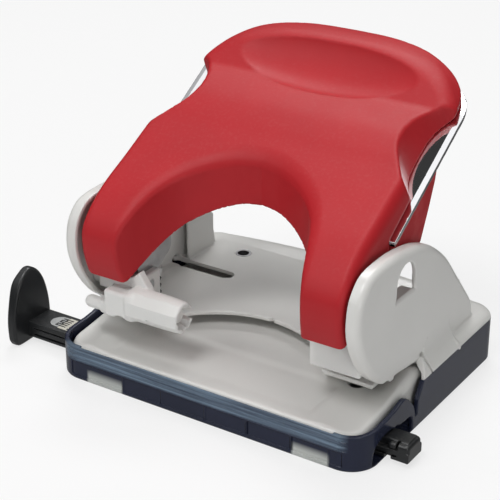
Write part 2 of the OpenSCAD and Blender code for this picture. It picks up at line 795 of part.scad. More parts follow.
// Shallow oval dish for the palm, a spindle lying across the slope of the palm rest
dish_half = cover_half_w - 16.1;
dish_wide = 9.5;
dish_deep = 2.7;
module palm_dish(grow) {
    r = (dish_wide * dish_wide / dish_deep + dish_deep) / 2;
    bow = (dish_half * dish_half / dish_deep + dish_deep) / 2;
    reach = 1.1 * dish_half;
    translate([0, 45.5, 96.4])
        rotate([42.4, 0, 0])
            translate([0, 0, r - dish_deep])
                rotate([0, 90, 0])
                    rotate_extrude($fn = 96)
                        polygon(concat(
                            [[0, -reach], [0, reach]],
                            [for (i = [8 : -1 : -8])
                                let (x = i * reach / 8)
                                    [r - bow + sqrt(bow * bow - x * x) + grow, x]]));
}

// Red cover: a shell over the lever plate, down to the ends of both legs
module handle_cover() {
    foot = [[cover_rear, plate_over(cover_rear) + 0.02], [plate_y, plate_over(plate_y) + 0.02],
            [plate_y, leg_under(plate_y)], leg_low];
    room = [[cover_rear - cover_wall, plate_over(cover_rear - cover_wall) - eps],
            [plate_y, plate_over(plate_y) - eps], [plate_y, 45], [-8, 30],
            [cover_top_line[0][0] + cover_wall, 30]];
    color(red_plastic) difference() {
        union() {
            difference() {
                cover_body(0, foot);
                // Room for the brackets and rivets, open towards the plate
                difference() {
                    cover_body(cover_wall, room);
                    linear_extrude(120) arch_plan(1.7);
                    scoops(cover_wall);
                    palm_dish(cover_wall);
                }
            }
            arch_skirt();
        }
        linear_extrude(120) arch_plan(0);
        scoops(0);
        palm_dish(0);
    }
}

// Wall round the arch that reaches below the plate's edge
module arch_skirt() {
    far = 9.2;
    arch_skirt_half = 25;
    band = [[plate_y - 0.5, leg_under(plate_y - 0.5)], [plate_y - 0.5, 66],
            [far, plate_under(far) + 4], [far, leg_under(far)]];
    intersection() {
        side_plate(band, -arch_skirt_half, arch_skirt_half);
        linear_extrude(120) arch_plan(1.7);
    }
}

// Red side wall below the plate that closes the gap inside a cheek
module side_apron(side) {
    outline = [[plate_y + 0.3, plate_under(plate_y + 0.3)], [30.4, plate_under(30.4)],
               [29.6, 72.6], [26, 64], [21.8, 55.2], [20, 54.2], [13, 53.4],
               [plate_y + 0.3, 55]];
    color(red_plastic) mirror([side > 0 ? 0 : 1, 0, 0])
        side_plate(outline, cover_half_w - cover_wall, cover_half_w);
}

// ------------------------------------------------------------ handle lock

// Sliding lock: a split tube on the rail, a tongue and a push arm
module lock_slider() {
    tube_r = 5.4;
    arm_r = 2.1;
    arm_z = 25.6;
    bore_from = -4.1 - lock_travel;
    // Drawn from the bearing's inner face, to the right
    color(white_plastic) translate([-block_in, rail_y, 0]) difference() {
        union() {
            x_rod(tube_r, 0.4, 20.4, 0, rail_z);
            translate([-8.6, -4.6, arm_z - 1]) cube([10, 9, 9.4]);
            // Tongue beside the leg's inner wall
            translate([0, 4.4, 0]) rotate([90, 0, 0]) linear_extrude(3.2)
                polygon([[-8.6, 30], [-8.6, 37], [-0.4, 37], [1.8, 40], [5.8, 34.4],
                         [5.8, 30]]);
            x_rod(arm_r, -16.9, -7.6, 0, arm_z);
            translate([-16.9, 0, arm_z]) sphere(r = arm_r, $fn = 32);
            translate([-11.6, -arm_r, arm_z - 2]) cube([4, 2 * arm_r, 4]);
        }
        x_rod(rail_r + running, bore_from, 30, 0, rail_z);
        // Slot that passes the rail's foot
        translate([bore_from, 0, rail_z - 1.2]) cube([40, 10, 2.4]);
    }
}

// ------------------------------------------------------------ the pieces

module left_die() die(-1);
module right_die() die(1);
module left_paper_stop() paper_stop(-1);
module right_paper_stop() paper_stop(1);
module left_guide_bush() guide_bush(-1);
module right_guide_bush() guide_bush(1);
module left_punch_pin() punch_pin(-1);
module right_punch_pin() punch_pin(1);
module left_pin_ring() pin_ring(-1);
module right_pin_ring() pin_ring(1);
module left_return_spring() return_spring(-1);
module right_return_spring() return_spring(1);
module left_pivot_pin() pivot_pin(-1);
module right_pivot_pin() pivot_pin(1);
module left_lever_bracket() lever_bracket(-1);
module right_lever_bracket() lever_bracket(1);
module left_press_bar() press_bar(-1);
module right_press_bar() press_bar(1);
module left_side_apron() side_apron(-1);
module right_side_apron() side_apron(1);

chip_tray();
guide_bar();
stop_fin();
guide_leaf_spring();
tray_hinge_rod();
table_plate();
left_die();
right_die();
left_paper_stop();
right_paper_stop();
rear_spacer();
rear_eyelets();
frame();
left_guide_bush();
right_guide_bush();
left_punch_pin();
right_punch_pin();
left_pin_ring();
right_pin_ring();
left_return_spring();
right_return_spring();
left_bearing_block();
right_bearing_block();
left_pivot_pin();
right_pivot_pin();
left_lever_bracket();
right_lever_bracket();
left_press_bar();
right_press_bar();
lever_rivets();
lever_plate();
handle_cover();
left_side_apron();
right_side_apron();
lock_slider();
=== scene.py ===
# A two-hole desk punch: smoked chip tray, painted steel base and frame, chromed lever plate
# under a grained red cover, white moulded bearings and lock, black paper guide.
import math
import bpy
import numpy as np
from mathutils import Matrix, Vector


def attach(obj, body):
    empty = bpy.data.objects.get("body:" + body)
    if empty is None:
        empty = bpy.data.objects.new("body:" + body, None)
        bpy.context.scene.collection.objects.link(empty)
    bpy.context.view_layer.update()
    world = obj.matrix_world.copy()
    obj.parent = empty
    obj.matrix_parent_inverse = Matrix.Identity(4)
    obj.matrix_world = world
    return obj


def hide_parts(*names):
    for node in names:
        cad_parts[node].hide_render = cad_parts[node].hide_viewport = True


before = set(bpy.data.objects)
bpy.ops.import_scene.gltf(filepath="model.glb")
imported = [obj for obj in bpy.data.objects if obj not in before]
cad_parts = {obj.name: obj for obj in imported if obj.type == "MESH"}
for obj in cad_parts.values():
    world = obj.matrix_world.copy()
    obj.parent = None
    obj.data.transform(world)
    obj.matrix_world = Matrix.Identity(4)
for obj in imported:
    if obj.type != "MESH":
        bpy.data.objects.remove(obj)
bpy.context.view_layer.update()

# ------------------------------------------------------------- view and light
# The punch stands on a plain white sweep, seen from its front right corner and from a little
# above. Four soft lamps hang over it, from front to rear, and a weak one lights its right side.
MM = 0.001              # sizes of the punch below are in millimetres
CAMERA_AT = (0.2327, -0.3560, 0.2501)
CAMERA_RIGHT = (0.8371, 0.5471, 0.0)
CAMERA_BACK = (0.4943, -0.7562, 0.4288)
camera_data = bpy.data.cameras.new("camera")
camera_data.lens = 108
camera_data.sensor_width = 36
camera_data.clip_start = 0.01
camera = bpy.data.objects.new("camera", camera_data)
rightward = Vector(CAMERA_RIGHT).normalized()
backward = Vector(CAMERA_BACK).normalized()
upward = backward.cross(rightward)
camera.matrix_world = Matrix((*zip(rightward, upward, backward, CAMERA_AT), (0, 0, 0, 1)))
bpy.context.scene.collection.objects.link(camera)
bpy.context.scene.camera = camera
bpy.context.scene.view_settings.view_transform = "Standard"


def soft_lamp(name, place, aim, size, power):
    data = bpy.data.lights.new(name, "AREA")
    data.shape = "RECTANGLE"
    data.size, data.size_y = size
    data.energy = power
    lamp = bpy.data.objects.new(name, data)
    lamp.location = place
    lamp.rotation_euler = (Vector(place) - Vector(aim)).to_track_quat("Z", "Y").to_euler()
    bpy.context.scene.collection.objects.link(lamp)


# name, place and aim in metres, size in metres, power in watts
for lamp_facts in (
        ("front_lamp", (-0.45, -0.85, 0.75), (0, 0, 0.05), (0.5, 0.5), 2.2),
        ("high_lamp", (-0.05, -0.50, 1.05), (0, 0, 0.05), (0.4, 0.3), 4.2),
        ("top_lamp", (0.0, 0.25, 1.05), (0, 0.02, 0.05), (0.5, 0.3), 2.2),
        ("back_lamp", (-0.35, 0.62, 1.05), (0, 0.02, 0.06), (0.5, 0.3), 4.6),
        ("right_lamp", (0.75, -0.60, 0.30), (0, 0, 0.04), (0.4, 0.4), 1.5)):
    soft_lamp(*lamp_facts)


def put(tree, kind, inputs=(), **settings):
    """A shader node; an input is given a value, or the output of another node."""
    made = tree.nodes.new("ShaderNode" + kind)
    for key, value in settings.items():
        setattr(made, key, value)
    for key, value in dict(inputs).items():
        if isinstance(value, bpy.types.NodeSocket):
            tree.links.new(value, made.inputs[key])
        else:
            made.inputs[key].default_value = value
    return made


def stops(node, *marks):
    """Sets the stops of a colour ramp: place and grey value or colour."""
    ramp = node.color_ramp
    while len(ramp.elements) < len(marks):
        ramp.elements.new(0.5)
    for element, (place, value) in zip(ramp.elements, marks):
        element.position = place
        element.color = (*(value if isinstance(value, tuple) else (value,) * 3), 1)
    return node


world = bpy.data.worlds.new("studio")
world.use_nodes = True
bpy.context.scene.world = world
tree = world.node_tree
tree.nodes.clear()
rays = put(tree, "LightPath")
direct = put(tree, "Math", {0: rays.outputs["Is Camera Ray"],
                            1: rays.outputs["Is Transmission Ray"]}, operation="MAXIMUM")
direction = put(tree, "SeparateXYZ", {0: put(tree, "TexCoord").outputs["Generated"]})
height = put(tree, "MapRange", {"Value": direction.outputs["Z"], "From Min": -1.0, "From Max": 1.0})
# Polished metal mirrors a room that is dark low down and white overhead
room = stops(put(tree, "ValToRGB", {"Fac": height.outputs[0]}),
             (0.45, 0.10), (0.50, 0.05), (0.64, 0.04), (0.82, 0.30), (0.91, 1.0))
# A small dark flag hangs where the right ledge of the lever plate mirrors it, so that the flat
# of the ledge shows black beside a white edge
FLAG = Vector((-0.40, 0.03, 0.916)).normalized()
towards = put(tree, "VectorMath", {0: put(tree, "TexCoord").outputs["Generated"], 1: FLAG},
              operation="DOT_PRODUCT")
flagged = put(tree, "MapRange", {"Value": towards.outputs["Value"], "From Min": 0.9877,
                                 "From Max": 0.9936, "To Min": 1.0, "To Max": 0.04})
room = put(tree, "VectorMath", {0: room.outputs[0], "Scale": flagged.outputs[0]}, operation="SCALE")
dim = put(tree, "Background", {"Color": (1, 1, 1, 1), "Strength": 0.16})
mirrored = put(tree, "Background", {"Color": room.outputs[0], "Strength": 1.15})
white = put(tree, "Background", {"Color": (1, 1, 1, 1), "Strength": 1.0})
lit = put(tree, "MixShader", {0: rays.outputs["Is Glossy Ray"], 1: dim.outputs[0],
                              2: mirrored.outputs[0]})
shown = put(tree, "MixShader", {0: direct.outputs[0], 1: lit.outputs[0], 2: white.outputs[0]})
put(tree, "OutputWorld", {"Surface": shown.outputs[0]})

FLOOR_HALF = 3.0
floor_mesh = bpy.data.meshes.new("floor")
floor_mesh.from_pydata([(x * FLOOR_HALF, y * FLOOR_HALF, 0)
                        for x, y in ((-1, -1), (1, -1), (1, 1), (-1, 1))], [], [(0, 1, 2, 3)])
floor = bpy.data.objects.new("floor", floor_mesh)
bpy.context.scene.collection.objects.link(floor)
floor_paint = bpy.data.materials.new("floor_paint")
floor_paint.use_nodes = True
tree = floor_paint.node_tree
rays = put(tree, "LightPath")
direct = put(tree, "Math", {0: rays.outputs["Is Camera Ray"],
                            1: rays.outputs["Is Transmission Ray"]}, operation="MAXIMUM")
GLOW_SHARE = 0.72       # how far the camera sees plain white instead of the lit floor
share = put(tree, "Math", {0: direct.outputs[0], 1: GLOW_SHARE}, operation="MULTIPLY")
# Gloss sees a pale floor close by and a dark studio floor farther off
away = put(tree, "VectorMath", {0: put(tree, "TexCoord").outputs["Object"]}, operation="LENGTH")
far_off = put(tree, "MapRange", {"Value": away.outputs["Value"], "From Min": 0.09, "From Max": 0.22,
                                 "To Min": 0.45, "To Max": 0.1})
glow = put(tree, "Emission", {"Color": (1, 1, 1, 1), "Strength": 1.0})
tree.nodes["Principled BSDF"].inputs["Base Color"].default_value = (0.85, 0.85, 0.85, 1)
tree.nodes["Principled BSDF"].inputs["Roughness"].default_value = 0.7
sweep = put(tree, "MixShader", {0: share.outputs[0], 1: tree.nodes["Principled BSDF"].outputs[0],
                                2: glow.outputs[0]})
dusk = put(tree, "Emission", {"Color": (1, 1, 1, 1), "Strength": far_off.outputs[0]})
sweep = put(tree, "MixShader", {0: rays.outputs["Is Glossy Ray"], 1: sweep.outputs[0],
                                2: dusk.outputs[0]})
tree.links.new(sweep.outputs[0], tree.nodes["Material Output"].inputs["Surface"])
floor_mesh.materials.append(floor_paint)

# ------------------------------------------------------------------ chip tray
# Moulded smoked plastic under the whole base. It catches the chips and swings down on its rear
# bead. Its front has see-through cells and a band where the light that comes through is painted on
# as paler colour, and its sides are hollowed round the guide bar.


def common(a, b, r):
    """What two forms share, with the edge between them rounded to radius r."""
    ra, rb = np.maximum(a + r, 0), np.maximum(b + r, 0)
    return np.minimum(-r, np.maximum(a, b)) + np.sqrt(ra * ra + rb * rb)


def joined(a, b, r):
    """Two forms together, with a hollow of radius r where they meet."""
    ra, rb = np.maximum(r - a, 0), np.maximum(r - b, 0)
    return np.maximum(r, np.minimum(a, b)) - np.sqrt(ra * ra + rb * rb)


def cut(a, b, r):
    return common(a, -b, r)


def between(value, low, high):
    """Distance outside a slab."""
    return np.abs(value - (low + high) / 2) - (high - low) / 2


def block(x, y, z, low, high, r):
    """A box with rounded edges."""
    q = [between(c, a, b) + r for c, a, b in zip((x, y, z), low, high)]
    out = [np.maximum(c, 0) for c in q]
    return (np.sqrt(out[0] ** 2 + out[1] ** 2 + out[2] ** 2)
            + np.minimum(np.maximum(np.maximum(q[0], q[1]), q[2]), 0) - r)


def rod(u, v, along, centre, r, low, high):
    """A round bar; u and v cross it."""
    return np.maximum(np.hypot(u - centre[0], v - centre[1]) - r, between(along, low, high))


def ease(t):
    t = np.clip(t, 0, 1)
    return t * t * (3 - 2 * t)


def rounded_plan(x, y, half, front, rear, front_r, rear_r):
    """Distance to a rectangle with rounded corners, seen from above."""
    at_front = y < (front + rear) / 2
    r = np.where(at_front, front_r, rear_r)
    qx = np.abs(x) - half + r
    qy = np.where(at_front, front + r - y, y - rear + r)
    return (np.hypot(np.maximum(qx, 0), np.maximum(qy, 0))
            + np.minimum(np.maximum(qx, qy), 0) - r)


def inside_outline(u, v, outline):
    """Signed distance to a closed outline, below zero inside it."""
    u, v = np.broadcast_arrays(u, v)
    nearest = np.full(u.shape, 1e9)
    odd = np.zeros(u.shape, bool)
    for (au, av), (bu, bv) in zip(outline, outline[1:] + outline[:1]):
        eu, ev = bu - au, bv - av
        length = eu * eu + ev * ev
        if length < 1e-12:
            continue
        t = np.clip(((u - au) * eu + (v - av) * ev) / length, 0, 1)
        nearest = np.minimum(nearest, (u - au - t * eu) ** 2 + (v - av - t * ev) ** 2)
        if ev:
            odd ^= ((av <= v) != (bv <= v)) & (u < au + (v - av) / ev * eu)
    return np.where(odd, -1, 1) * np.sqrt(nearest)


def through(points, spacing=0.8):
    """A smooth line through a few points, as close points."""
    p = [np.array(q, float) for q in points]
    line = []
    for i in range(len(p) - 1):
        a, b, c, d = p[max(i - 1, 0)], p[i], p[i + 1], p[min(i + 2, len(p) - 1)]
        steps = max(2, int(np.linalg.norm(c - b) / spacing))
        for t in np.arange(steps) / steps:
            line.append(0.5 * (2 * b + (c - a) * t + (2 * a - 5 * b + 4 * c - d) * t ** 2
                               + (3 * b - a - 3 * c + d) * t ** 3))
    line.append(p[-1])
    return [tuple(q) for q in line]


def ticks(*marks):
    """Grid lines: each place with the spacing that follows it, and the last place alone."""
    coarse = 1.0
    lines = [np.linspace(a, b, max(1, round((b - a) / (gap * coarse))), endpoint=False)
             for (a, gap), (b, *_) in zip(marks, marks[1:])]
    return np.concatenate(lines + [[marks[-1][0]]])


def skin(form, grid):
    """The surface where form(x, y, z) is zero: points, four-sided faces and normals."""
    count = [len(g) for g in grid]
    gx, gy, gz = grid
    field = np.broadcast_to(form(gx[:, None, None], gy[None, :, None], gz[None, None, :]), count)
    field = np.where(field == 0, 1e-6, field)
    corners = [(i, j, k) for i in (0, 1) for j in (0, 1) for k in (0, 1)]

    def shifted(i, j, k):
        return field[i:count[0] - 1 + i, j:count[1] - 1 + j, k:count[2] - 1 + k]
    below = sum((shifted(*c) < 0).astype(np.int8) for c in corners)
    cells = np.argwhere((below > 0) & (below < 8))
    number = -np.ones(below.shape, int)
    number[tuple(cells.T)] = np.arange(len(cells))
    total, hits = np.zeros((len(cells), 3)), np.zeros((len(cells), 1))
    for a in corners:
        for k in range(3):
            if a[k]:
                continue
            b = tuple(c + (n == k) for n, c in enumerate(a))
            fa, fb = field[tuple((cells + a).T)], field[tuple((cells + b).T)]
            crosses = (fa < 0) != (fb < 0)
            t = np.where(crosses, fa / np.where(crosses, fa - fb, 1), 0)
            point = np.array(a, float)[None, :] + t[:, None] * (np.arange(3) == k)[None, :]
            total += point * crosses[:, None]
            hits += crosses[:, None]
    low = np.stack([grid[k][cells[:, k]] for k in range(3)], 1)
    size = np.stack([grid[k][cells[:, k] + 1] for k in range(3)], 1) - low
    points = low + total / hits * size
    faces = []
    for k in range(3):
        u, v = (k + 1) % 3, (k + 2) % 3
        here = [slice(0, count[n] - 1) if n == k else slice(1, count[n] - 1) for n in range(3)]
        there = list(here)
        there[k] = slice(1, count[k])
        a, b = field[tuple(here)] < 0, field[tuple(there)] < 0
        at = np.argwhere(a != b)
        leaving = a[tuple(at.T)]
        at = at + np.array([0 if n == k else 1 for n in range(3)])
        ring = []
        for du, dv in ((-1, -1), (0, -1), (0, 0), (-1, 0)):
            cell = at.copy()
            cell[:, u] += du
            cell[:, v] += dv
            ring.append(number[tuple(cell.T)])
        quad = np.stack(ring, 1)
        quad[~leaving] = quad[~leaving][:, ::-1]
        faces.append(quad)

    def value(p):
        return np.broadcast_to(form(p[:, 0], p[:, 1], p[:, 2]), (len(p),))

    def slope(p, here):
        return np.stack([value(p + 0.01 * e) - here for e in np.eye(3)], 1) / 0.01
    here = value(points)
    g = slope(points, here)
    move = (here / np.maximum((g * g).sum(1), 0.2))[:, None] * g
    points = points - np.clip(move, -0.45 * size, 0.45 * size)
    g = slope(points, value(points))
    return (points, np.concatenate(faces),
            g / np.maximum(np.linalg.norm(g, axis=1), 1e-6)[:, None])


def moulding(name, body, node, slot, look, form, *grid):
    """A piece that stands for a CAD node, with the surface of a form in millimetres."""
    points, faces, normals = skin(form, grid)
    mesh = bpy.data.meshes.new(name)
    mesh.from_pydata(points * MM, [], faces)
    mesh.polygons.foreach_set("use_smooth", np.ones(len(faces), bool))
    mesh.normals_split_custom_set_from_vertices(normals)
    mesh.materials.append(look)
    piece = bpy.data.objects.new(name, mesh)
    bpy.context.scene.collection.objects.link(piece)
    if node:
        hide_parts(node)
    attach(piece, body)
    return piece


def effect(name, ins, outs):
    """A node group with named inputs and outputs."""
    group = bpy.data.node_groups.new(name, "ShaderNodeTree")
    for label, value in ins.items():
        kind = "NodeSocketColor" if isinstance(value, tuple) else "NodeSocketFloat"
        socket = group.interface.new_socket(name=label, in_out="INPUT", socket_type=kind)
        socket.default_value = value
    for label, kind in outs.items():
        group.interface.new_socket(name=label, in_out="OUTPUT", socket_type="NodeSocket" + kind)
    return (group, group.nodes.new("NodeGroupInput").outputs,
            group.nodes.new("NodeGroupOutput").inputs)


def blended(tree, fac, a, b, mode="MIX"):
    return put(tree, "Mix", {0: fac, 6: a, 7: b}, data_type="RGBA", blend_type=mode).outputs[2]


# Cloudy colour and gloss of a surface, and its fine grain
surface_grain, given, gives = effect(
    "surface_grain",
    {"Colour": (0.5, 0.5, 0.5, 1), "Variation": 0.1, "Cloud scale": 60.0, "Roughness": 0.4,
     "Gloss spread": 0.1, "Grain scale": 1500.0},
    {"Colour": "Color", "Roughness": "Float", "Height": "Float"})
where = put(surface_grain, "TexCoord").outputs["Object"]
cloud = put(surface_grain, "TexNoise", {"Vector": where, "Scale": given["Cloud scale"],
                                        "Detail": 4.0})
speck = put(surface_grain, "TexNoise", {"Vector": where, "Scale": given["Grain scale"],
                                        "Detail": 2.0})
lows = put(surface_grain, "Math", {0: 1.0, 1: given["Variation"]}, operation="SUBTRACT")
highs = put(surface_grain, "Math", {0: 1.0, 1: given["Variation"]}, operation="ADD")
shade = put(surface_grain, "MapRange", {"Value": cloud.outputs[0], "From Min": 0.3, "From Max": 0.7,
                                        "To Min": lows.outputs[0], "To Max": highs.outputs[0]})
tinted = put(surface_grain, "VectorMath", {0: given["Colour"], "Scale": shade.outputs[0]},
             operation="SCALE")
surface_grain.links.new(tinted.outputs[0], gives["Colour"])
patchy = put(surface_grain, "TexNoise", {"Vector": where, "Scale": 170.0, "Detail": 3.0})
offset = put(surface_grain, "Math", {0: patchy.outputs[0], 1: 0.5}, operation="SUBTRACT")
surface_grain.links.new(
    put(surface_grain, "Math", {0: offset.outputs[0], 1: given["Gloss spread"],
                                2: given["Roughness"]}, operation="MULTIPLY_ADD").outputs[0],
    gives["Roughness"])
surface_grain.links.new(speck.outputs[0], gives["Height"])

# Lighter, rubbed colour on outer edges, in broken patches
edge_wear, given, gives = effect(
    "edge_wear",
    {"Colour": (0.5, 0.5, 0.5, 1), "Worn colour": (0.7, 0.7, 0.7, 1), "Amount": 0.3},
    {"Colour": "Color", "Mask": "Float"})
where = put(edge_wear, "TexCoord").outputs["Object"]
bent = put(edge_wear, "MapRange", {"Value": put(edge_wear, "NewGeometry").outputs["Pointiness"],
                                   "From Min": 0.53, "From Max": 0.62})
broken = put(edge_wear, "TexNoise", {"Vector": where, "Scale": 240.0, "Detail": 5.0})
patch = put(edge_wear, "MapRange", {"Value": broken.outputs[0], "From Min": 0.45, "From Max": 0.65})
rubbed = put(edge_wear, "Math", {0: bent.outputs[0], 1: patch.outputs[0]}, operation="MULTIPLY")
worn = put(edge_wear, "Math", {0: rubbed.outputs[0], 1: given["Amount"]}, operation="MULTIPLY")
edge_wear.links.new(blended(edge_wear, worn.outputs[0], given["Colour"], given["Worn colour"]),
                    gives["Colour"])
edge_wear.links.new(worn.outputs[0], gives["Mask"])

# A little pale dust on faces that look up
settled_dust, given, gives = effect(
    "settled_dust",
    {"Colour": (0.5, 0.5, 0.5, 1), "Dust colour": (0.6, 0.58, 0.55, 1), "Roughness": 0.4,
     "Amount": 0.05},
    {"Colour": "Color", "Roughness": "Float"})
where = put(settled_dust, "TexCoord").outputs["Object"]
up = put(settled_dust, "SeparateXYZ", {0: put(settled_dust, "NewGeometry").outputs["Normal"]})
facing = put(settled_dust, "MapRange", {"Value": up.outputs["Z"], "From Min": 0.5, "From Max": 1.0})
motes = put(settled_dust, "TexNoise", {"Vector": where, "Scale": 900.0, "Detail": 3.0})
few = put(settled_dust, "MapRange", {"Value": motes.outputs[0], "From Min": 0.5, "From Max": 0.75})
lying = put(settled_dust, "Math", {0: facing.outputs[0], 1: few.outputs[0]}, operation="MULTIPLY")
film = put(settled_dust, "Math", {0: lying.outputs[0], 1: given["Amount"]}, operation="MULTIPLY")
settled_dust.links.new(
    blended(settled_dust, film.outputs[0], given["Colour"], given["Dust colour"]),
    gives["Colour"])
settled_dust.links.new(
    put(settled_dust, "Math", {0: film.outputs[0], 1: 0.4, 2: given["Roughness"]},
        operation="MULTIPLY_ADD").outputs[0], gives["Roughness"])


def finished(name, colour, rough, variation=0.05, cloud=60.0, spread=0.1, grain=1500.0,
             grain_depth=0.006, worn=(0.7, 0.7, 0.7), wear=0.15, dust=0.06, paint=None, **sockets):
    """A material with grain, edge wear and dust over its colour."""
    look = bpy.data.materials.new(name)
    look.use_nodes = True
    tree = look.node_tree
    shader = tree.nodes["Principled BSDF"]
    base = paint(tree) if paint else (*colour, 1)
    grained = put(tree, "Group", {
        "Colour": base, "Variation": variation, "Cloud scale": cloud, "Roughness": rough,
        "Gloss spread": spread, "Grain scale": grain}, node_tree=surface_grain)
    edges = put(tree, "Group", {
        "Colour": grained.outputs["Colour"], "Worn colour": (*worn, 1), "Amount": wear},
        node_tree=edge_wear)
    dusty = put(tree, "Group", {
        "Colour": edges.outputs["Colour"], "Roughness": grained.outputs["Roughness"],
        "Amount": dust}, node_tree=settled_dust)
    relief = put(tree, "Bump", {"Strength": 1.0, "Distance": grain_depth * MM,
                                "Height": grained.outputs["Height"]})
    tree.links.new(dusty.outputs["Colour"], shader.inputs["Base Color"])
    tree.links.new(dusty.outputs["Roughness"], shader.inputs["Roughness"])
    tree.links.new(relief.outputs[0], shader.inputs["Normal"])
    for socket, value in sockets.items():
        shader.inputs[socket.replace("_", " ")].default_value = value
    return look


TRAY_HALF, TRAY_FRONT, TRAY_REAR = 58.4, -29.0, 63.5
FRONT_CORNER, REAR_CORNER = 9.5, 8.0
TRAY_WALL = 1.6
HINGE = (61.3, 12.5)            # y and z of the tray's hinge
BEAD_R, BEAD_HALF = 2.2, 50.0   # round bead along the tray's rear edge
ROD_BORE, ROD_REACH = 1.05, 38.2
EAR_X, EAR_HALF = 32.0, 2.0     # the table's two ears on the hinge rod
EAR_ROOM = 0.3
BAND_LOW, BAND_HIGH, BAND_DEEP = 1.6, 6.4, 0.35     # sunk band along the front
GROOVES, GROOVE_DEEP = (7.3, 8.9, 10.5), 0.22
RAILS, RAIL_TOP = ((-18.45, -17.15), (-7.85, -6.55)), 6.2   # walls the guide bar slides between
LINING_IN, LINING_OUT = 53.0, 54.4                  # inner wall of each side hollow
FOOT_RIM, FOOT_DEEP = 5.0, 0.7                      # rim that stands on the desk
tray_rim = through([(-30, 12.2), (-26, 12.3), (-20, 12.9), (-14, 13.2), (-9, 13.7), (-5.8, 14.6),
                    (-3.4, 14.75), (-1, 13.4), (1, 11.4), (2.8, 9.2), (3.9, 6.5), (4.2, 5)])
over_rim = tray_rim + [(5.2, 5), (5.5, 10), (8.6, 14.8), (8.6, 20), (-40, 20), (-40, 12.2)]
bar_hollow = through([(-22, 0.8), (-21.8, 5), (-20.6, 7.2), (-17.5, 8.3), (-13, 8.4), (-8.5, 7.7),
                      (-5, 6.9), (-1, 6.6), (1.2, 6.2), (2.2, 4.5), (2.4, 0.8)])
FRONT_RIBS = (-44, -30, -14.6, 2, 17.5, 33.5, 46.6)


def tray_form(x, y, z):
    ax = np.abs(x)
    plan = rounded_plan(x, y, TRAY_HALF, TRAY_FRONT, TRAY_REAR, FRONT_CORNER, REAR_CORNER)
    outside = common(plan, -z, 0.8)
    # Shallow steps along the front: foot, recessed band with ribs, bead, sight band
    rib = np.min([between(x, c - 0.35, c + 0.35) for c in FRONT_RIBS], axis=0)
    band = np.maximum(np.maximum(y + 27.2, between(z, BAND_LOW, BAND_HIGH)), ax - 51)
    outside = cut(outside, np.maximum(np.maximum(band, -(plan + BAND_DEEP)), -rib), 0.2)
    for groove in GROOVES:
        line = between(z, groove - GROOVE_DEEP, groove + GROOVE_DEEP)
        line = np.maximum(np.maximum(line, ax - 52.5), y + 25)
        outside = cut(outside, np.maximum(line, -(plan + GROOVE_DEEP)), 0.12)
    solid = cut(outside, np.maximum(plan + TRAY_WALL, TRAY_WALL - z), 0.6)
    # Walls between which the bar slides, and the inner walls of the two hollows
    rails = np.minimum(between(y, *RAILS[0]), between(y, *RAILS[1]))
    rails = np.maximum(np.maximum(rails, z - RAIL_TOP), np.maximum(plan + 1, 1 - z))
    solid = np.minimum(solid, rails)
    lining = np.maximum(between(ax, LINING_IN, LINING_OUT), np.maximum(z - 9.3, between(y, -24, 4)))
    solid = np.minimum(solid, np.maximum(lining, 1 - z))
    hollow = np.maximum(inside_outline(y, z, bar_hollow), LINING_OUT - ax)
    solid = cut(solid, hollow, 0.35)
    passage = np.maximum(between(y, RAILS[0][1], RAILS[1][0]), between(z, 1.65, 8.0))
    solid = np.maximum(solid, -np.maximum(passage, 50 - ax))
    # The front wall is thin behind the table's turned-down lip
    solid = np.maximum(solid, -block(x, y, z, (-47.5, -28.45, 9.4), (47.5, -20, 20), 0.1))
    bead = rod(y, z, x, HINGE, BEAD_R, -BEAD_HALF, BEAD_HALF)
    rear_low = np.maximum(58.9 - y, HINGE[1] + 1.1 - z)
    solid = np.minimum(np.maximum(solid, -rear_low), bead)
    room = EAR_HALF + EAR_ROOM
    ears = np.maximum(np.maximum(between(ax, EAR_X - room, EAR_X + room), 58 - y), 9.5 - z)
    bore = rod(y, z, x, HINGE, ROD_BORE, -ROD_REACH, ROD_REACH)
    solid = np.maximum(np.maximum(solid, -ears), -bore)
    # Underside: a shallow hollow inside a standing rim, with cross ribs
    under = np.maximum(plan + FOOT_RIM, z - FOOT_DEEP)
    cross = np.minimum(between(np.abs(ax - 26), -0.8, 0.8), between(np.abs(y - 17), -0.8, 0.8))
    solid = cut(solid, np.maximum(under, -cross), 0.2)
    return common(solid, -inside_outline(y, z, over_rim), 0.35)


SMOKE = (0.017, 0.021, 0.043)
# Painted colours of the light that comes through the smoked plastic, in the band and in the cells
SMOKE_LIT_THROUGH = (0.17, 0.24, 0.32)
CELL_LIT_THROUGH = (0.50, 0.52, 0.50)
CLEAR_CELLS = ((-44.5, -30.5), (34, 46.6))      # ends of the two clear cells along the front


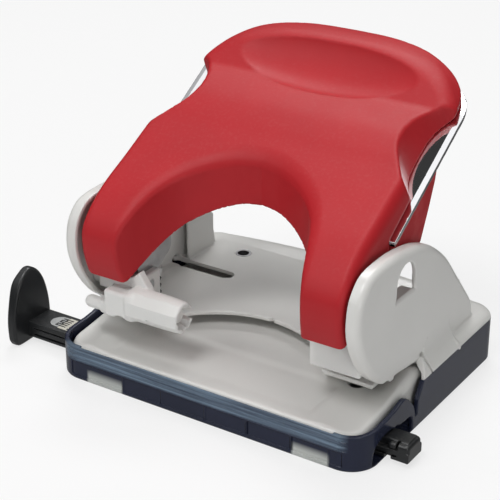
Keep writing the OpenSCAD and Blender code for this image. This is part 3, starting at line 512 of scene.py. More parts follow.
def smoke_and_painted_light(tree):
    """Dark smoke with painted light where light would come through the plastic: a streaked band and
    a few cells.
    """
    at = put(tree, "SeparateXYZ", {0: put(tree, "TexCoord").outputs["Object"]})

    def within(axis, low, high, soft):
        centre = put(tree, "Math", {0: at.outputs[axis], 1: -(low + high) / 2 * MM},
                     operation="ADD")
        away = put(tree, "Math", {0: centre.outputs[0]}, operation="ABSOLUTE")
        half = (high - low) / 2
        return put(tree, "MapRange", {"Value": away.outputs[0], "From Min": (half + soft) * MM,
                                      "From Max": (half - soft) * MM}).outputs[0]

    def product(*masks):
        whole = masks[0]
        for mask in masks[1:]:
            whole = put(tree, "Math", {0: whole, 1: mask}, operation="MULTIPLY").outputs[0]
        return whole
    front = within("Y", -36, -26.5, 0.8)
    # Painted light seen through the thin front wall: a paler band with streaks
    stretched = put(tree, "Mapping", {0: put(tree, "TexCoord").outputs["Object"],
                                      "Scale": (25, 25, 900)})
    streaks = put(tree, "TexNoise", {"Vector": stretched.outputs[0], "Scale": 1.0, "Detail": 3.0})
    streaky = put(tree, "MapRange", {"Value": streaks.outputs[0], "From Min": 0.35,
                                     "From Max": 0.62, "To Min": 0.25})
    band = product(front, within("Z", 7.2, 12.6, 0.4), within("X", -54, 51.5, 1.5),
                   streaky.outputs[0])
    # Painted light through the two clear cells near the foot of the front
    left, right = (within("X", *cell, 0.5) for cell in CLEAR_CELLS)
    cells = put(tree, "Math", {0: left, 1: right}, operation="MAXIMUM")
    clear = product(front, within("Z", -1, 3.9, 1.2), cells.outputs[0])
    colour = blended(tree, band, (*SMOKE, 1), (*SMOKE_LIT_THROUGH, 1))
    return blended(tree, clear, colour, (*CELL_LIT_THROUGH, 1))


smoke_look = finished("smoked_plastic", SMOKE, 0.24, variation=0.12, cloud=45, spread=0.12,
                      grain=700, grain_depth=0.003, worn=(0.10, 0.13, 0.20), wear=0.35, dust=0.05,
                      paint=smoke_and_painted_light, Specular_IOR_Level=0.3)
moulding("chip_tray_shell", "tray", "chip_tray", "smoke_tray", smoke_look, tray_form,
         ticks((-59.2, 0.4), (-46, 0.8), (46, 0.4), (59.2,)),
         ticks((-29.8, 0.35), (-25, 0.55), (10, 1.4), (56, 0.6), (64.3,)),
         ticks((-0.8, 0.4), (15.6,)))


def dress(look, *names):
    """Gives CAD nodes a finish; they keep their shape."""
    for name in names:
        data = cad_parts[name].data
        if not data.materials:
            data.materials.append(look)
        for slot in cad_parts[name].material_slots:
            slot.material = look


# ----------------------------------------------------------------- hinge rod
# A plain drawn steel rod through the tray's bead and the table's two ears, zinc plated.
# Zinc-plated steel has a soft, cloudy grey shine with fine drawing marks.
zinc_look = finished("zinc_plated_steel", (0.48, 0.48, 0.49), 0.34, variation=0.12, cloud=220,
                     spread=0.25, grain=1600, grain_depth=0.004, wear=0.3, dust=0.03, Metallic=1.0)
dress(zinc_look, "tray_hinge_rod")

# ---------------------------------------------------------------- paper guide
# A black moulded bar that pulls out to the left, with an upright fin that the sheet's side edge
# meets, a small printed scale on top, and a bowed steel leaf that holds it where it is put.
BAR_LEFT, BAR_RIGHT = -79.0, 67.0
BAR_FRONT, BAR_REAR, BAR_LOW, BAR_TOP = -17.0, -8.0, 1.75, 7.75


def bar_form(x, y, z):
    foot = block(x, y, z, (BAR_LEFT - 0.5, BAR_FRONT, BAR_LOW), (BAR_RIGHT, BAR_REAR, 5.15), 0.35)
    rib = block(x, y, z, (BAR_LEFT - 0.5, -15.2, BAR_LOW), (BAR_RIGHT - 1, -9, BAR_TOP), 0.45)
    # Wider head under the scale, always outside the tray
    head = block(x, y, z, (BAR_LEFT - 0.5, -17.6, 1.8), (-60.2, -6.6, BAR_TOP), 0.45)
    tail = block(x, y, z, (59.6, BAR_FRONT, 1.8), (BAR_RIGHT, -8.3, 7.5), 1.3)
    bar = np.minimum(np.minimum(foot, rib), np.minimum(head, tail))
    # Two long grooves in the front face, a notch on top and a pocket below the right end
    for low, high, deep in ((2.9, 3.5, -16.2), (5.2, 5.75, -16.4)):
        bar = np.maximum(bar, -np.maximum(np.maximum(between(z, low, high), y - deep - 0.2),
                                          between(x, -77, 63)))
    notch = np.maximum(np.maximum(between(x, 62.6, 63.3), 5.6 - z), y + 14.6)
    pocket = np.maximum(np.maximum(between(x, 59, 61), z - 3.2), y + 15.5)
    return np.maximum(np.maximum(bar, -notch), -pocket)


black_look = finished("black_plastic", (0.013, 0.014, 0.015), 0.33, variation=0.12, cloud=60,
                      spread=0.12, grain=1300, grain_depth=0.004, worn=(0.09, 0.09, 0.09),
                      wear=0.4, dust=0.05)
moulding("guide_bar_skin", "guide", "guide_bar", "black_plastic", black_look, bar_form,
         ticks((-80, 0.4), (-58, 1.2), (56, 0.4), (67.8,)),
         ticks((-18.4, 0.3), (-13.5, 0.6), (-9.5, 0.35), (-5.8,)),
         ticks((1.0, 0.3), (8.6,)))

fin_line = through([(-24.6, 2.6), (-24.9, 8), (-24.3, 13), (-22.6, 18.6), (-20.2, 23.2),
                    (-17.6, 25.9), (-15.1, 26.9), (-12.6, 26.1), (-10.0, 23.6), (-7.8, 19.4),
                    (-6.3, 13.6), (-5.8, 8), (-6.1, 2.3), (-8, 0.3), (-15, 0.25), (-22.6, 0.3),
                    (-24.6, 2.6)])[:-1]
FIN_LEFT, FIN_RIDGE = -83.2, 0.75


def fin_form(x, y, z):
    side = inside_outline(y, z, fin_line)
    # A soft ridge runs down the outer face towards its front edge
    swell = FIN_RIDGE * np.exp(-((y + 21.2 - 0.06 * (z - 12)) / 1.9) ** 2) * ease((z - 1) / 3)
    dish = 0.8 * np.exp(-(((y + 13.6) / 5.2) ** 2 + ((z - 15) / 9.5) ** 2))
    outer = FIN_LEFT + FIN_RIDGE - swell + dish
    return common(side, np.maximum(x - BAR_LEFT, outer - x), 1.0)


moulding("stop_fin_skin", "guide", "stop_fin", "black_plastic", black_look, fin_form,
         ticks((-83.8, 0.3), (-78.4,)), ticks((-25.6, 0.35), (-5,)), ticks((-0.5, 0.35), (27.6,)))

SCALE_CENTRE = (-69.0, -12.0)


def scale_piece(name, look, polygons, low, high):
    """Flat printed shapes, a hair thick, on top of the bar."""
    points, faces = [], []
    for outline in polygons:
        first, n = len(points), len(outline)
        points += [(a, b, low) for a, b in outline] + [(a, b, high) for a, b in outline]
        faces.append([first + n + i for i in range(n)])
        faces.append([first + i for i in reversed(range(n))])
        faces += [[first + i, first + (i + 1) % n, first + n + (i + 1) % n, first + n + i]
                  for i in range(n)]
    mesh = bpy.data.meshes.new(name)
    mesh.from_pydata(np.array(points) * MM, [], faces)
    mesh.materials.append(look)
    piece = bpy.data.objects.new(name, mesh)
    bpy.context.scene.collection.objects.link(piece)
    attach(piece, "guide")


def patch_at(x0, y0, x1, y1):
    return [(x0, y0), (x1, y0), (x1, y1), (x0, y1)]


label_look, cream_look, ink_look = (
    finished("scale_print_" + name, colour, 0.5, variation=0.1, cloud=300, grain_depth=0.004,
             wear=0.0, dust=0.05)
    for name, colour in (("grey", (0.36, 0.37, 0.37)), ("cream", (0.55, 0.53, 0.46)),
                         ("black", (0.012, 0.012, 0.012))))
cx, cy = SCALE_CENTRE
DISC_R = 3.4
half_disc = [(cx - 0.6 + DISC_R * math.cos(a), cy + DISC_R * math.sin(a))
             for a in np.linspace(math.pi / 2, 3 * math.pi / 2, 17)]
scale_piece("scale_arrow", label_look,
            [half_disc + [(cx + 1, cy - DISC_R), (cx + 1, cy + DISC_R)]],
            BAR_TOP - 0.05, BAR_TOP + 0.03)
scale_piece("scale_strip", cream_look, [patch_at(cx + 1.1, cy - 3.9, cx + 6.6, cy + 3.6)],
            BAR_TOP - 0.05, BAR_TOP + 0.03)
STROKE_STEP, DOT_STEP = 1.15, 1.5
strokes = [patch_at(cx - 0.9, row, cx + 3.4, row + 0.6)
           for row in cy - 2.6 + STROKE_STEP * np.arange(5)]
strokes += [patch_at(cx - 0.9 + 1.5 * (i % 2), cy - 2.6 + STROKE_STEP * i,
                     cx - 0.3 + 1.5 * (i % 2), cy - 1.0 + STROKE_STEP * i) for i in range(4)]
dots = [patch_at(cx + 4.6, row, cx + 5.7, row + 0.8) for row in cy - 3.4 + DOT_STEP * np.arange(5)]
scale_piece("scale_marks", ink_look, strokes + dots, BAR_TOP - 0.02, BAR_TOP + 0.05)
dress(zinc_look, "guide_leaf_spring")

# ---------------------------------------------------------------- table plate
# Pressed sheet steel in warm light grey enamel, its edges turned down into the tray. A land
# rises along each side towards the slot for the sheets; the middle lies a little lower.
TABLE_HALF, TABLE_FRONT, TABLE_REAR = 55.3, -28.4, 58.5
TABLE_FRONT_CORNER, TABLE_REAR_CORNER = 9, 6
SHEET = 1.5             # thickness of the steel of the table and of the frame
TABLE_TOP = 13.0
LIP_FOOT, SIDE_FOOT = 9.6, 5.6      # how far down the turned edge goes, and beside the tray's slit
PIN_X, DIE_BORE = 40.0, 2.9
EYELET_AT, EYELET_BORE = (35.5, 50.0), 2.8
MIDDLE_DROP = 0.32
# The land along each side: y, and the height of its top
land_line = [(-28, 11.5), (-22, 12.0), (-18, 12.4), (-12, 13.1), (-3, 14.3), (6, 15.4),
             (12, 16.1), (14.0, 16.1), (14.6, TABLE_TOP)]


def table_height(x, y):
    ax = np.abs(x)
    land = np.interp(y, *zip(*land_line))
    raised = ease((ax - 44.5) / 8.4)
    behind_lip = ease((-2 - y) / 4) * ease((y + 27) / 6)
    middle = MIDDLE_DROP * ease((38 - ax) / 2.2) * behind_lip
    return TABLE_TOP + (land - TABLE_TOP) * raised - middle


def table_form(x, y, z):
    ax = np.abs(x)
    plan = rounded_plan(x, y, TABLE_HALF, TABLE_FRONT, TABLE_REAR,
                        TABLE_FRONT_CORNER, TABLE_REAR_CORNER)
    top = table_height(x, y)
    soft = 1.1 + 1.3 * ease((ax - 34) / 12)
    outside = common(plan, z - top, soft)
    inside = common(plan + SHEET, z - top + SHEET, 0.9)
    foot = np.where(np.abs(y - 9.5) < 5.2, SIDE_FOOT, LIP_FOOT)
    sheet = np.maximum(np.maximum(outside, -inside), foot - z)
    ear_in, ear_out = EAR_X - EAR_HALF, EAR_X + EAR_HALF
    arm = block(ax, y, z, (ear_in, 55.5, TABLE_TOP - SHEET), (ear_out, HINGE[0], TABLE_TOP), 0.2)
    eye = rod(y, z, ax, HINGE, BEAD_R, ear_in, ear_out)
    sheet = np.minimum(sheet, np.minimum(arm, eye))
    for px, py, r in ((PIN_X, 0, DIE_BORE), (*EYELET_AT, EYELET_BORE)):
        sheet = cut(sheet, np.hypot(ax - px, y - py) - r, 0.3)
    return np.maximum(sheet, -rod(y, z, x, HINGE, ROD_BORE, -ROD_REACH, ROD_REACH))


enamel_look = finished("grey_enamel", (0.74, 0.735, 0.71), 0.3, variation=0.02, cloud=40,
                       spread=0.08, grain=420, grain_depth=0.007, worn=(0.80, 0.80, 0.79),
                       wear=0.2, dust=0.03, Coat_Weight=0.12, Coat_Roughness=0.25)
moulding("table_plate_sheet", "base", "table_plate", "grey_paint", enamel_look, table_form,
         ticks((-56, 0.4), (-34, 0.8), (34, 0.4), (56,)),
         ticks((-29.2, 0.35), (-24, 0.8), (10, 0.5), (17, 1.5), (54, 0.6), (64.2,)),
         ticks((5.0, 0.45), (17,)))


RING_R, RING_BORE, RING_LOW = 5.4, 2.8, 9.3


def die_form(centre):
    """A hardened ring under the table's hole."""
    def form(x, y, z):
        out = np.hypot(x - centre, y)
        return common(np.maximum(out - RING_R, RING_BORE - out),
                      between(z, RING_LOW, TABLE_TOP - SHEET), 0.3)
    return form


for side, centre in (("left", -PIN_X), ("right", PIN_X)):
    moulding(side + "_die_ring", "base", side + "_die", "steel", zinc_look, die_form(centre),
             ticks((centre - 6, 0.4), (centre + 6,)), ticks((-6, 0.4), (6,)),
             ticks((9, 0.3), (11.8,)))
dress(zinc_look, "left_paper_stop", "right_paper_stop", "rear_spacer", "rear_eyelets")

# ---------------------------------------------------------------------- frame
# Heavier pressed steel in the same enamel: a plate over the table with a throat in its front
# edge, a skirt over the tray's rim, and two cheeks bent up with a rim turned in all round.
FRAME_UNDER, FRAME_TOP = 16.5, 18.0
CHEEK_IN, CHEEK_OUT = 49.3, 54.0
SKIRT_LOW, SKIRT_FROM, FLARE_FROM = 15.0, 33.5, 8.9
HUMP, HUMP_HALF, HUMP_FROM = 2.5, 50.0, 55.8
THROAT_Y, THROAT_R = -21.0, 34.0
SLOT_Y, SLOT_IN, SLOT_OUT = (29.5, 34.9), 28.4, 54.4        # relief slot into each cheek's root
SLIT_Y = (14.2, 15.0)                                       # cut up each cheek behind the land
BUSH_BORE, MARK_Y, MARK_HALF = 4.0, 12.4, 1.2
cheek_line = through([(-8.3, 20.4), (-12.5, 23.4), (-17.2, 27.6), (-21.8, 34), (-25, 41),
                      (-26, 47.5), (-24.6, 54.5), (-20.4, 59.4), (-15.4, 61.1), (-9, 61.5),
                      (-2.7, 61.4), (2.3, 60.8), (8, 59.8), (13.3, 58.3), (20.5, 55.2),
                      (30.3, 48), (38.8, 38.6), (44.6, 32), (50.2, 25.4), (51.8, 22.4),
                      (52.4, 19)])
cheek_line += [(52.4, 16.6), (15, 16.6), (15, 17.6), (1, 19.6)]
WINDOW_Y, WINDOW_LOW, WINDOW_R, WINDOW_SPRING = 2.5, 46.4, 5.8, 51.0
# Below the cheek the side flares out over the tray's wall
flare_line = through([(54.0, 27), (54.1, 24), (54.7, 21.2), (56.0, 18.8), (57.5, 17.1),
                      (58.3, 15.9), (58.4, 15.0)])
flare_line += [(57.2, 15.0), (56.4, 16.4), (54.0, 18), (52.5, 19), (52.5, 27)]
# The rim that goes on down to the plate at the rear of each cheek
inner_wall = [(34.4, 17.5), (34.4, 41), (40, 36.8), (46, 33.2), (50.1, 30.6), (50.1, 17.5)]


def frame_form(x, y, z):
    ax = np.abs(x)
    plan = rounded_plan(x, y, TRAY_HALF, -40, TRAY_REAR, 1, REAR_CORNER)
    # The rear border swells up in a flat arch
    hump = HUMP * np.clip(1 - (ax / HUMP_HALF) ** 2, 0, 1) * np.clip((y - HUMP_FROM) / 6.5, 0, 1)

    def roll(wide, high, edge):
        """Elliptic roll at the edge of the skirt."""
        u = np.maximum(plan + edge + wide, 0) / wide
        v = np.maximum(z - hump - (FRAME_TOP - 3), 0) / high
        return (np.hypot(u, v) - 1) * high
    skirt = np.maximum(roll(4.2, 3, 0), -roll(2.7, 1.5, 1.4))
    skirt = np.maximum(skirt, np.maximum(SKIRT_LOW - z, SKIRT_FROM - y))
    inner = np.maximum(ax - 48.7, -6.6 - y)
    wide = np.maximum(ax - CHEEK_OUT, 15 - y)
    level = np.maximum(np.minimum(inner, wide), y - 40)
    plate = common(level, between(z, FRAME_UNDER, FRAME_TOP), 0.3)
    plate = np.minimum(plate, skirt)
    # Cheeks: shells that open inwards
    side = inside_outline(y, z, cheek_line)
    cheek = common(side, ax - CHEEK_OUT, 2.3)
    cheek = common(cheek, CHEEK_IN - ax, 0.4)
    hollow = common(side + SHEET, ax - CHEEK_OUT + SHEET, 0.9)
    hollow = np.maximum(hollow, FRAME_TOP - z)
    cheek = cut(cheek, hollow, 0.3)
    open_below = block(ax, y, z, (47, -5, 17), (52.5, 15, 22), 0.2)
    cheek = np.maximum(cheek, -open_below)
    arch = np.where(z > WINDOW_SPRING, np.hypot(y - WINDOW_Y, z - WINDOW_SPRING) - WINDOW_R,
                    np.maximum(np.abs(y - WINDOW_Y) - WINDOW_R, WINDOW_LOW - z))
    window = np.maximum(arch, 45 - ax)
    cheek = cut(cheek, window, 0.45 + 0.85 * ease((48.6 - z) / 2.5))
    tab = block(ax, y, z, (CHEEK_IN, -2.9, 44.9), (53.4, 7.9, 46.4), 0.5)
    cheek = joined(cheek, tab, 0.4)
    along = np.maximum(FLARE_FROM + (z - SKIRT_LOW) - y, y - SKIRT_FROM - 0.5)
    flare = common(inside_outline(ax, z, flare_line), along, 0.3)
    # The turned-in rim runs down to the plate at the rear, as an inner wall
    lining = common(inside_outline(y, z, inner_wall), between(ax, 48.45, 49.5), 0.3)
    body = joined(plate, np.minimum(np.minimum(cheek, flare), lining), 0.9)
    # Throat, holes, relief slots, slits and the mark at the middle
    body = cut(body, np.hypot(x, y - THROAT_Y) - THROAT_R, 0.45)
    for px, py, r in ((PIN_X, 0, BUSH_BORE), (*EYELET_AT, EYELET_BORE)):
        hole = np.maximum(np.hypot(ax - px, y - py) - r, z - 25)
        body = cut(body, hole, 0.35)
    slot = block(ax, y, z, (SLOT_IN, SLOT_Y[0], 12), (SLOT_OUT, SLOT_Y[1], 20.3), 2.6)
    slit = block(ax, y, z, (49, SLIT_Y[0], 10), (59, SLIT_Y[1], 21.0), 0.1)
    body = np.maximum(body, -np.minimum(slot, slit))
    mark = (np.abs(x) + np.abs(y - MARK_Y)) / math.sqrt(2) - MARK_HALF
    return np.maximum(body, -mark)


moulding("frame_pressing", "base", "frame", "grey_paint", enamel_look, frame_form,
         ticks((-59, 0.45), (-46, 1.0), (46, 0.45), (59,)),
         ticks((-27, 0.45), (17, 0.6), (35, 0.7), (54, 0.7), (64.3,)),
         ticks((12.4, 0.4), (21.5, 0.8), (43, 0.5), (62.3,)))

# --------------------------------------------------- punch pins and springs
# Each pin is ground steel, polished, and slides in a white moulded bush. A black wound spring
# stands on the bush and pushes up a chromed ring that is pressed on the pin.
white_look = finished("white_moulding", (0.74, 0.74, 0.72), 0.42, variation=0.03, cloud=50,
                      spread=0.08, grain=900, grain_depth=0.006, worn=(0.82, 0.82, 0.80),
                      wear=0.2, dust=0.04)
chrome_look = finished("chrome_plate", (0.80, 0.80, 0.82), 0.055, variation=0.02, cloud=80,
                       spread=0.03, grain=300, grain_depth=0.001, worn=(0.86, 0.86, 0.87),
                       wear=0.1, dust=0.01, Metallic=1.0)
spring_look = finished("blackened_steel", (0.028, 0.028, 0.03), 0.32, variation=0.2, cloud=300,
                       spread=0.2, grain=1500, grain_depth=0.004, worn=(0.30, 0.30, 0.30),
                       wear=0.4, dust=0.03, Metallic=0.7)
dress(white_look, "left_guide_bush", "right_guide_bush")
dress(chrome_look, "left_punch_pin", "right_punch_pin", "left_pin_ring", "right_pin_ring")
dress(spring_look, "left_return_spring", "right_return_spring")

# ---------------------------------------------------- bearings and the lock
# White moulded bearings hold the pivot pins, each with a boss in the cheek and a foot on the
# plate. The left one carries a rail on which a split tube slides to lock the lever.
BLOCK_LOW, BLOCK_TOP, BLOCK_FRONT, BLOCK_REAR = 24.3, 36.0, -15.6, -5.2
BLOCK_IN, BLOCK_OUT = 31.3, 49.0
PIVOT, PIVOT_BORE, BOSS_R = (-10.5, 31.5), 2.0, 3.8
ARMS, ARM_ROOM = (33.9, 44.6), 2.0      # the bracket's two arms, and the slot for each
RECESS = ((-50, -17, 26.0), (-44.2, -11, 29.0))


def bearing_form(x, y, z):
    body = block(x, y, z, (BLOCK_IN, BLOCK_FRONT, BLOCK_LOW),
                 (BLOCK_OUT, BLOCK_REAR, BLOCK_TOP), 0.8)
    boss = rod(y, z, x, PIVOT, BOSS_R, BLOCK_OUT - 1, 52.3)
    foot_line = [(-1.9, 18.05), (-8.9, 24.5), (-8.9, 30), (0.6, 30), (0.6, 18.05)]
    foot = common(inside_outline(y, z, foot_line), between(x, 47.3, 52.3), 0.4)
    body = np.minimum(np.minimum(body, boss), foot)
    for arm in ARMS:
        body = np.maximum(body, -block(x, y, z, (arm - 0.25, BLOCK_FRONT + 1.4, 27.7),
                                       (arm - 0.25 + ARM_ROOM, 6, 48), 0.1))
    return cut(body, rod(y, z, x, PIVOT, PIVOT_BORE, 30, 50.8), 0.2)


RAIL, RAIL_R = (-20.4, 29.8), 2.2


def left_bearing_form(x, y, z):
    body = bearing_form(-x, y, z)
    # A recess under the leg looks dark from the front
    body = np.maximum(body, -block(x, y, z, *RECESS, 0.2))
    rail = common(np.hypot(y - RAIL[0], z - RAIL[1]) - RAIL_R, between(x, -35, -13.1), 0.5)
    web = block(x, y, z, (-34.9, RAIL[0], RAIL[1] - 1),
                (-31.9, BLOCK_FRONT + 0.5, RAIL[1] + 1), 0.2)
    return np.minimum(joined(body, web, 0.3), rail)


TUBE_R, TUBE_HALF, TUBE_BORE = 5.5, 5.0, 2.3
ARM_R, ARM_Z, ARM_END = 2.1, 25.6, -48.0
tongue_line = [(-40, 31), (-40, 36.2), (-33.5, 37.4), (-31.2, 38.6), (-29.6, 40), (-25.4, 34.2),
               (-26.0, 31)]


def lock_form(x, y, z):
    u, v = y - RAIL[0], z - RAIL[1]
    # Split tube with flattened sides and corners, slimmer towards its open end
    flats = np.maximum(np.abs(u) - TUBE_HALF, (np.abs(u) + np.abs(v)) * 0.7071 - 5.15)
    turn = np.maximum(np.hypot(u, v) - TUBE_R, flats)
    slim = 0.35 * ease((x + 18) / 8) + 0.006 * (x + 24)
    tube = common(turn + slim, between(x, -31, -11), 0.7)
    body = block(x, u, z, (-40, -4.4, 24.6), (-28.6, 4.3, 34), 1.3)
    tongue = common(inside_outline(x, z, tongue_line), between(u, 1.3, 4.3), 0.5)
    tip = np.sqrt((x - ARM_END + 0.2) ** 2 + u ** 2 + (z - ARM_Z) ** 2) - ARM_R
    arm = np.minimum(rod(u, z, x, (0, ARM_Z), ARM_R, ARM_END, -38), tip)
    neck = block(x, u, z, (-43.4, -2.1, 23.5), (-38.4, 2.1, 27.8), 0.8)
    shape = joined(joined(tube, body, 1.2), joined(arm, neck, 0.6), 0.8)
    shape = joined(shape, tongue, 0.6)
    # Finger notch below, two sink slots, the bore with its teeth and the mouth to the rear
    shape = cut(shape, np.hypot(x + 33.6, z - 22.6) - 3.3, 0.5)
    shape = np.maximum(shape, -block(x, u, z, (-22.6, -6, 25.2), (-20.9, -4.2, 28.0), 0.2))
    shape = np.maximum(shape, -block(x, u, z, (-25.5, -3.3, 34.6), (-22.4, -2.3, 37), 0.2))
    length = between(x, -40.6, 0)
    bore = np.maximum(np.hypot(u, v) - TUBE_BORE, length)
    mouth = np.maximum(np.abs(v) - 1.2 - 0.22 * np.maximum(u - 1.5, 0), np.maximum(-u, length))
    flare = np.hypot(u, v) - TUBE_BORE - 1.5 * ease((x + 15.5) / 4.5)
    teeth = 0.35 * np.cos(9 * np.arctan2(v, u)) * ease((x + 16) / 3)
    shape = np.maximum(shape, -np.minimum(bore, mouth))
    return cut(shape, np.maximum(flare + teeth, -x - 16), 0.2)


moulding("right_bearing_skin", "base", "right_bearing_block", "white_moulding", white_look,
         bearing_form, ticks((30.6, 0.4), (53,)), ticks((-16.4, 0.45), (1.4,)),
         ticks((17.3, 0.45), (36.8,)))
moulding("left_bearing_skin", "base", "left_bearing_block", "white_moulding", white_look,
         left_bearing_form, ticks((-53, 0.4), (-12.4,)), ticks((-23.4, 0.4), (1.4,)),
         ticks((17.3, 0.45), (36.8,)))
moulding("lock_slider_skin", "lock", "lock_slider", "white_moulding", white_look, lock_form,
         ticks((-51, 0.33), (-10.3,)), ticks((-26.4, 0.33), (-14.6,)),
         ticks((22.8, 0.33), (40.8,)))

# -------------------------------------------------- brackets under the lever
# Two channel brackets of zinc-plated steel hang under the lever plate, each with its pivot pin
# and the round bar that presses the punch pin down; rivets hold them to the plate.
dress(zinc_look, "left_pivot_pin", "right_pivot_pin", "left_lever_bracket", "right_lever_bracket",
      "left_press_bar", "right_press_bar", "lever_rivets")

# ----------------------------------------------------------------- lever plate
# One thick pressed steel plate, chromed, that the whole handle is built on. Its edge shows as a
# bright line in the scoops on both sides of the cover.
SLOPE = math.radians(32)
FOLD_Y, FOLD_Z = 4.0, 59.6      # a point of the plate's underside
PLATE, PLATE_TOP = 1.6, 1.887   # its thickness, square to it and measured upright
PLATE_RISE = 0.6249             # its height gained per length to the rear
PLATE_HALF, COVER_HALF = 48.6, 48.3
CHAMFER_WIDE, CHAMFER_FALL = 1.7, 0.15
RIVETS_Y = (-10, 1)


def plate_under(y):
    return FOLD_Z + PLATE_RISE * (y - FOLD_Y)


def above_plate(y, z):
    """Height over the plate's underside, square to it."""
    return -(y - FOLD_Y) * math.sin(SLOPE) + (z - FOLD_Z) * math.cos(SLOPE)


arch_line = through([(0, 7.3), (7, 6.3), (14.2, 3.3), (20.2, -0.7), (24.3, -4.9), (27.2, -9.6),
                     (29.6, -15), (31.6, -20.4), (33.6, -25.2), (36, -32), (38, -40)], 1.0)
arch_outline = [(-x, y) for x, y in arch_line[::-1]] + arch_line[1:] + [(38, -60), (-38, -60)]


# The plate seen from above, with rounded rear corners
plate_side = through([(PLATE_HALF, 44), (PLATE_HALF, 47), (48.1, 49.6), (46.9, 52.0),
                      (44.6, 54.3), (41, 56.4), (36, 58.6), (28, 61.5), (18, 64.0), (9, 65.1),
                      (0, 65.5)], 1.5)
plate_plan = ([(PLATE_HALF, -60)] + plate_side + [(-x, y) for x, y in plate_side[-2::-1]]
              + [(-PLATE_HALF, -60)])


def fall(s, r, drop):
    """How much a surface curves down at the distance s from an edge."""
    reach = np.sqrt(r * r - (r - drop) ** 2)
    return r - np.sqrt(r * r - np.clip(reach - s, 0, reach) ** 2)


def plate_form(x, y, z):
    ax = np.abs(x)
    n = above_plate(y, z)
    edge = inside_outline(x, y, plate_plan)
    plan = np.maximum(edge, -13.9 - y)
    plan = np.maximum(plan, 1.9 - inside_outline(x, y, arch_outline))
    plan = np.maximum(plan, np.where(y < FOLD_Y + 0.2, ax - 46.2, edge))
    # The upper face slopes down a little along the edge
    slant = CHAMFER_FALL * np.clip(CHAMFER_WIDE + edge, 0, CHAMFER_WIDE)
    sheet = common(plan, np.maximum(n - PLATE + slant, -n), 0.2)
    along = (y - FOLD_Y) * math.cos(SLOPE) + (z - FOLD_Z) * math.sin(SLOPE)
    for place in RIVETS_Y:
        rivet = np.hypot(ax - PIN_X, along - place / math.cos(SLOPE))
        sheet = np.maximum(sheet, 1.6 - rivet)
    return sheet


moulding("lever_plate_sheet", "handle", "lever_plate", "chrome", chrome_look, plate_form,
         ticks((-49.6, 0.35), (-44, 1.1), (44, 0.35), (49.6,)),
         ticks((-15, 0.5), (66.4,)), ticks((47.6, 0.35), (101,)))

# ---------------------------------------------------------------- handle cover
# One red moulding of grained plastic snapped over the lever plate: two legs round an arch, a
# waist between two hand-wide scoops, and a crowned rear with an oval dish for the palm.
COVER_WALL, EDGE_R = 1.9, 5.0
front_line = through([(-22.8, 37.0), (-24.6, 42.4), (-25.5, 47.9), (-25.2, 52.8), (-23.0, 57.0),
                      (-19.5, 60.8), (-15.7, 64.1), (-11.2, 67.0), (-6.3, 69.6), (-1.5, 72.1),
                      (4.5, 75.4), (13.7, 80.4), (19.1, 83.6), (25.7, 87.0), (32.9, 89.6),
                      (37, 90.6), (39.5, 91.4), (42, 93.3), (46, 96.9), (50, 100.3),
                      (53.5, 102.6), (57, 103.6), (61, 103.8), (65, 103.1), (69, 101.6)])


LEG_END, LEG_SLOPE = (-21.4, 37.2), 0.797


def lower_line(y):
    """Height of the legs' lower edge."""
    return LEG_END[1] + LEG_SLOPE * (y - LEG_END[0])


cover_outline = front_line + [(70, plate_under(70) + PLATE_TOP),
                              (FOLD_Y, plate_under(FOLD_Y) + PLATE_TOP),
                              (FOLD_Y, lower_line(FOLD_Y)), LEG_END]
room_outline = front_line + [(70, 0), (-15, 0)]
skirt_outline = [(-2, lower_line(-2)), (-2, 66), (9.2, plate_under(9.2) + 6),
                 (9.2, lower_line(9.2))]
# The cover seen from above: straight sides, rounded rear corners, bowed rear
cover_side = through([(COVER_HALF, 42), (COVER_HALF, 46), (47.6, 49.2), (45.6, 52.3),
                      (43.0, 54.4), (39.5, 56.4), (34, 58.6), (26, 61.4), (17, 63.4),
                      (8.5, 64.6), (0, 65.0)], 1.5)
plan_outline = ([(COVER_HALF, -60)] + cover_side + [(-x, y) for x, y in cover_side[-2::-1]]
                + [(-COVER_HALF, -60)])
crown_side = through([(-48.3, 86), (-48.0, 89), (-46.9, 91.6), (-45.2, 93.6), (-43.2, 95.5),
                      (-41.2, 97.1), (-38, 99.0), (-33, 101.0), (-25, 103.1), (-13, 105.2),
                      (0, 105.6)], 1.0)
crown_outline = ([(-COVER_HALF, 0)] + crown_side + [(-x, z) for x, z in crown_side[-2::-1]]
                 + [(COVER_HALF, 0)])


# The hand-wide hollow at each side of the waist: its crease on top and its foot on the plate,
# as distance up the slope from the waist and distance from the middle
WAIST, CREASE_HIGH = (28, 87.5), 9.3
crease_line = [(-24, 52), (-21.5, 49.2), (-19.3, 47.2), (-17.2, 45.4), (-14.6, 43.7),
               (-11.9, 42.2), (-9.1, 40.8), (-6.2, 39.7), (-2.9, 39.0), (0.6, 38.6),
               (3.9, 38.8), (7.3, 39.5), (10, 40.6), (12.3, 42.0), (13.9, 43.8),
               (15.2, 46.0), (16.2, 48.4), (17.2, 52), (17.2, 62), (-24, 62)]
foot_line = [(-23.6, 52), (-20.6, 48.5), (-16, 44.8), (-13.5, 43.4), (-11, 42.7), (-6.6, 42.4),
             (-1.7, 42.4), (2.9, 42.6), (6.3, 43.2), (9.3, 44.2), (11.7, 45.4), (13.4, 47.2),
             (14.8, 49.4), (15.6, 52), (15.6, 62), (-23.6, 62)]


def scoop(x, y, z):
    """Distance to the hollow at one side of the waist."""
    ax = np.abs(x)
    along = (y - WAIST[0]) * math.cos(SLOPE) + (z - WAIST[1]) * math.sin(SLOPE)
    lean = np.clip((CREASE_HIGH - above_plate(y, z)) / (CREASE_HIGH - PLATE), -0.3, 1.1)
    return ((1 - lean) * inside_outline(along, ax, crease_line)
            + lean * inside_outline(along, ax, foot_line))


DISH_TILT = math.radians(42.4)
DISH_AT, DISH_RAISED = (45.5, 96.4), 4.2
DISH_HALF = (40.2, 12.2, 7.2)


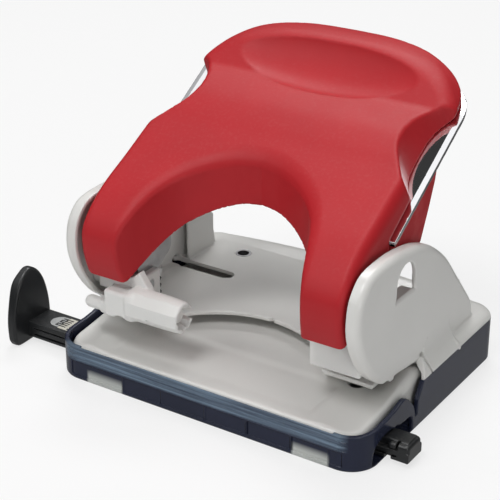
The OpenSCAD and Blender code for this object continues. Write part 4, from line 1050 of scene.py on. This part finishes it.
def palm_dish(x, y, z):
    """Distance to the ellipsoid that hollows the palm rest."""
    y, z = y - DISH_AT[0], z - DISH_AT[1]
    v = y * math.cos(DISH_TILT) + z * math.sin(DISH_TILT)
    n = -y * math.sin(DISH_TILT) + z * math.cos(DISH_TILT) - DISH_RAISED
    a, b, c = DISH_HALF
    k0 = np.sqrt((x / a) ** 2 + (v / b) ** 2 + (n / c) ** 2)
    k1 = np.sqrt((x / a ** 2) ** 2 + (v / b ** 2) ** 2 + (n / c ** 2) ** 2)
    return k0 * (k0 - 1) / np.maximum(k1, 1e-9)


def cover_form(x, y, z):
    arch = inside_outline(x, y, arch_outline)
    hollow = scoop(x, y, z)
    high = ease((z - 50) / 25)      # edges are softer higher up
    sides = fall(COVER_HALF - np.abs(x), EDGE_R, 0.05 + 2.1 * high)
    top = (inside_outline(y, z, cover_outline) + sides
           + fall(arch, EDGE_R, 0.1 + 2.2 * high) + fall(hollow, 2.2, 0.4))
    crown = inside_outline(x, z, crown_outline)
    plan = inside_outline(x, y, plan_outline)
    solid = common(top, crown, 3.0)
    skirt = np.maximum(inside_outline(y, z, skirt_outline), arch - COVER_WALL)
    solid = common(np.minimum(solid, skirt), plan, 0.9)
    dish = palm_dish(x, y, z)
    solid = cut(cut(cut(solid, hollow, 0.5), dish, 0.2), arch, 0.9)
    # The room inside keeps a wall below the top, the dish and round the hollows and the arch
    room = np.maximum(inside_outline(y, z, room_outline) + COVER_WALL + 2.4 * high,
                      np.maximum(plan, crown + 2) + COVER_WALL)
    for face in (hollow, dish, arch):
        room = np.maximum(room, COVER_WALL - face)
    return cut(solid, room, 0.3)


RED = (0.45, 0.014, 0.02)
red_look = finished("red_grained_plastic", RED, 0.5, variation=0.05, cloud=35, spread=0.1,
                    grain=2000, grain_depth=0.022, worn=(0.60, 0.10, 0.10), wear=0.25, dust=0.03,
                    Specular_IOR_Level=0.3)
moulding("handle_cover_skin", "handle", "handle_cover", "red_cover", red_look, cover_form,
         ticks((-50, 0.75), (50,)), ticks((-28, 0.7), (67,)), ticks((34, 0.7), (108,)))

# ----------------------------------------------------------------- side aprons
# Red side walls below the lever plate that close the gap between the handle and each cheek.
# They are moulded in the same grained plastic as the cover.
dress(red_look, "left_side_apron", "right_side_apron")
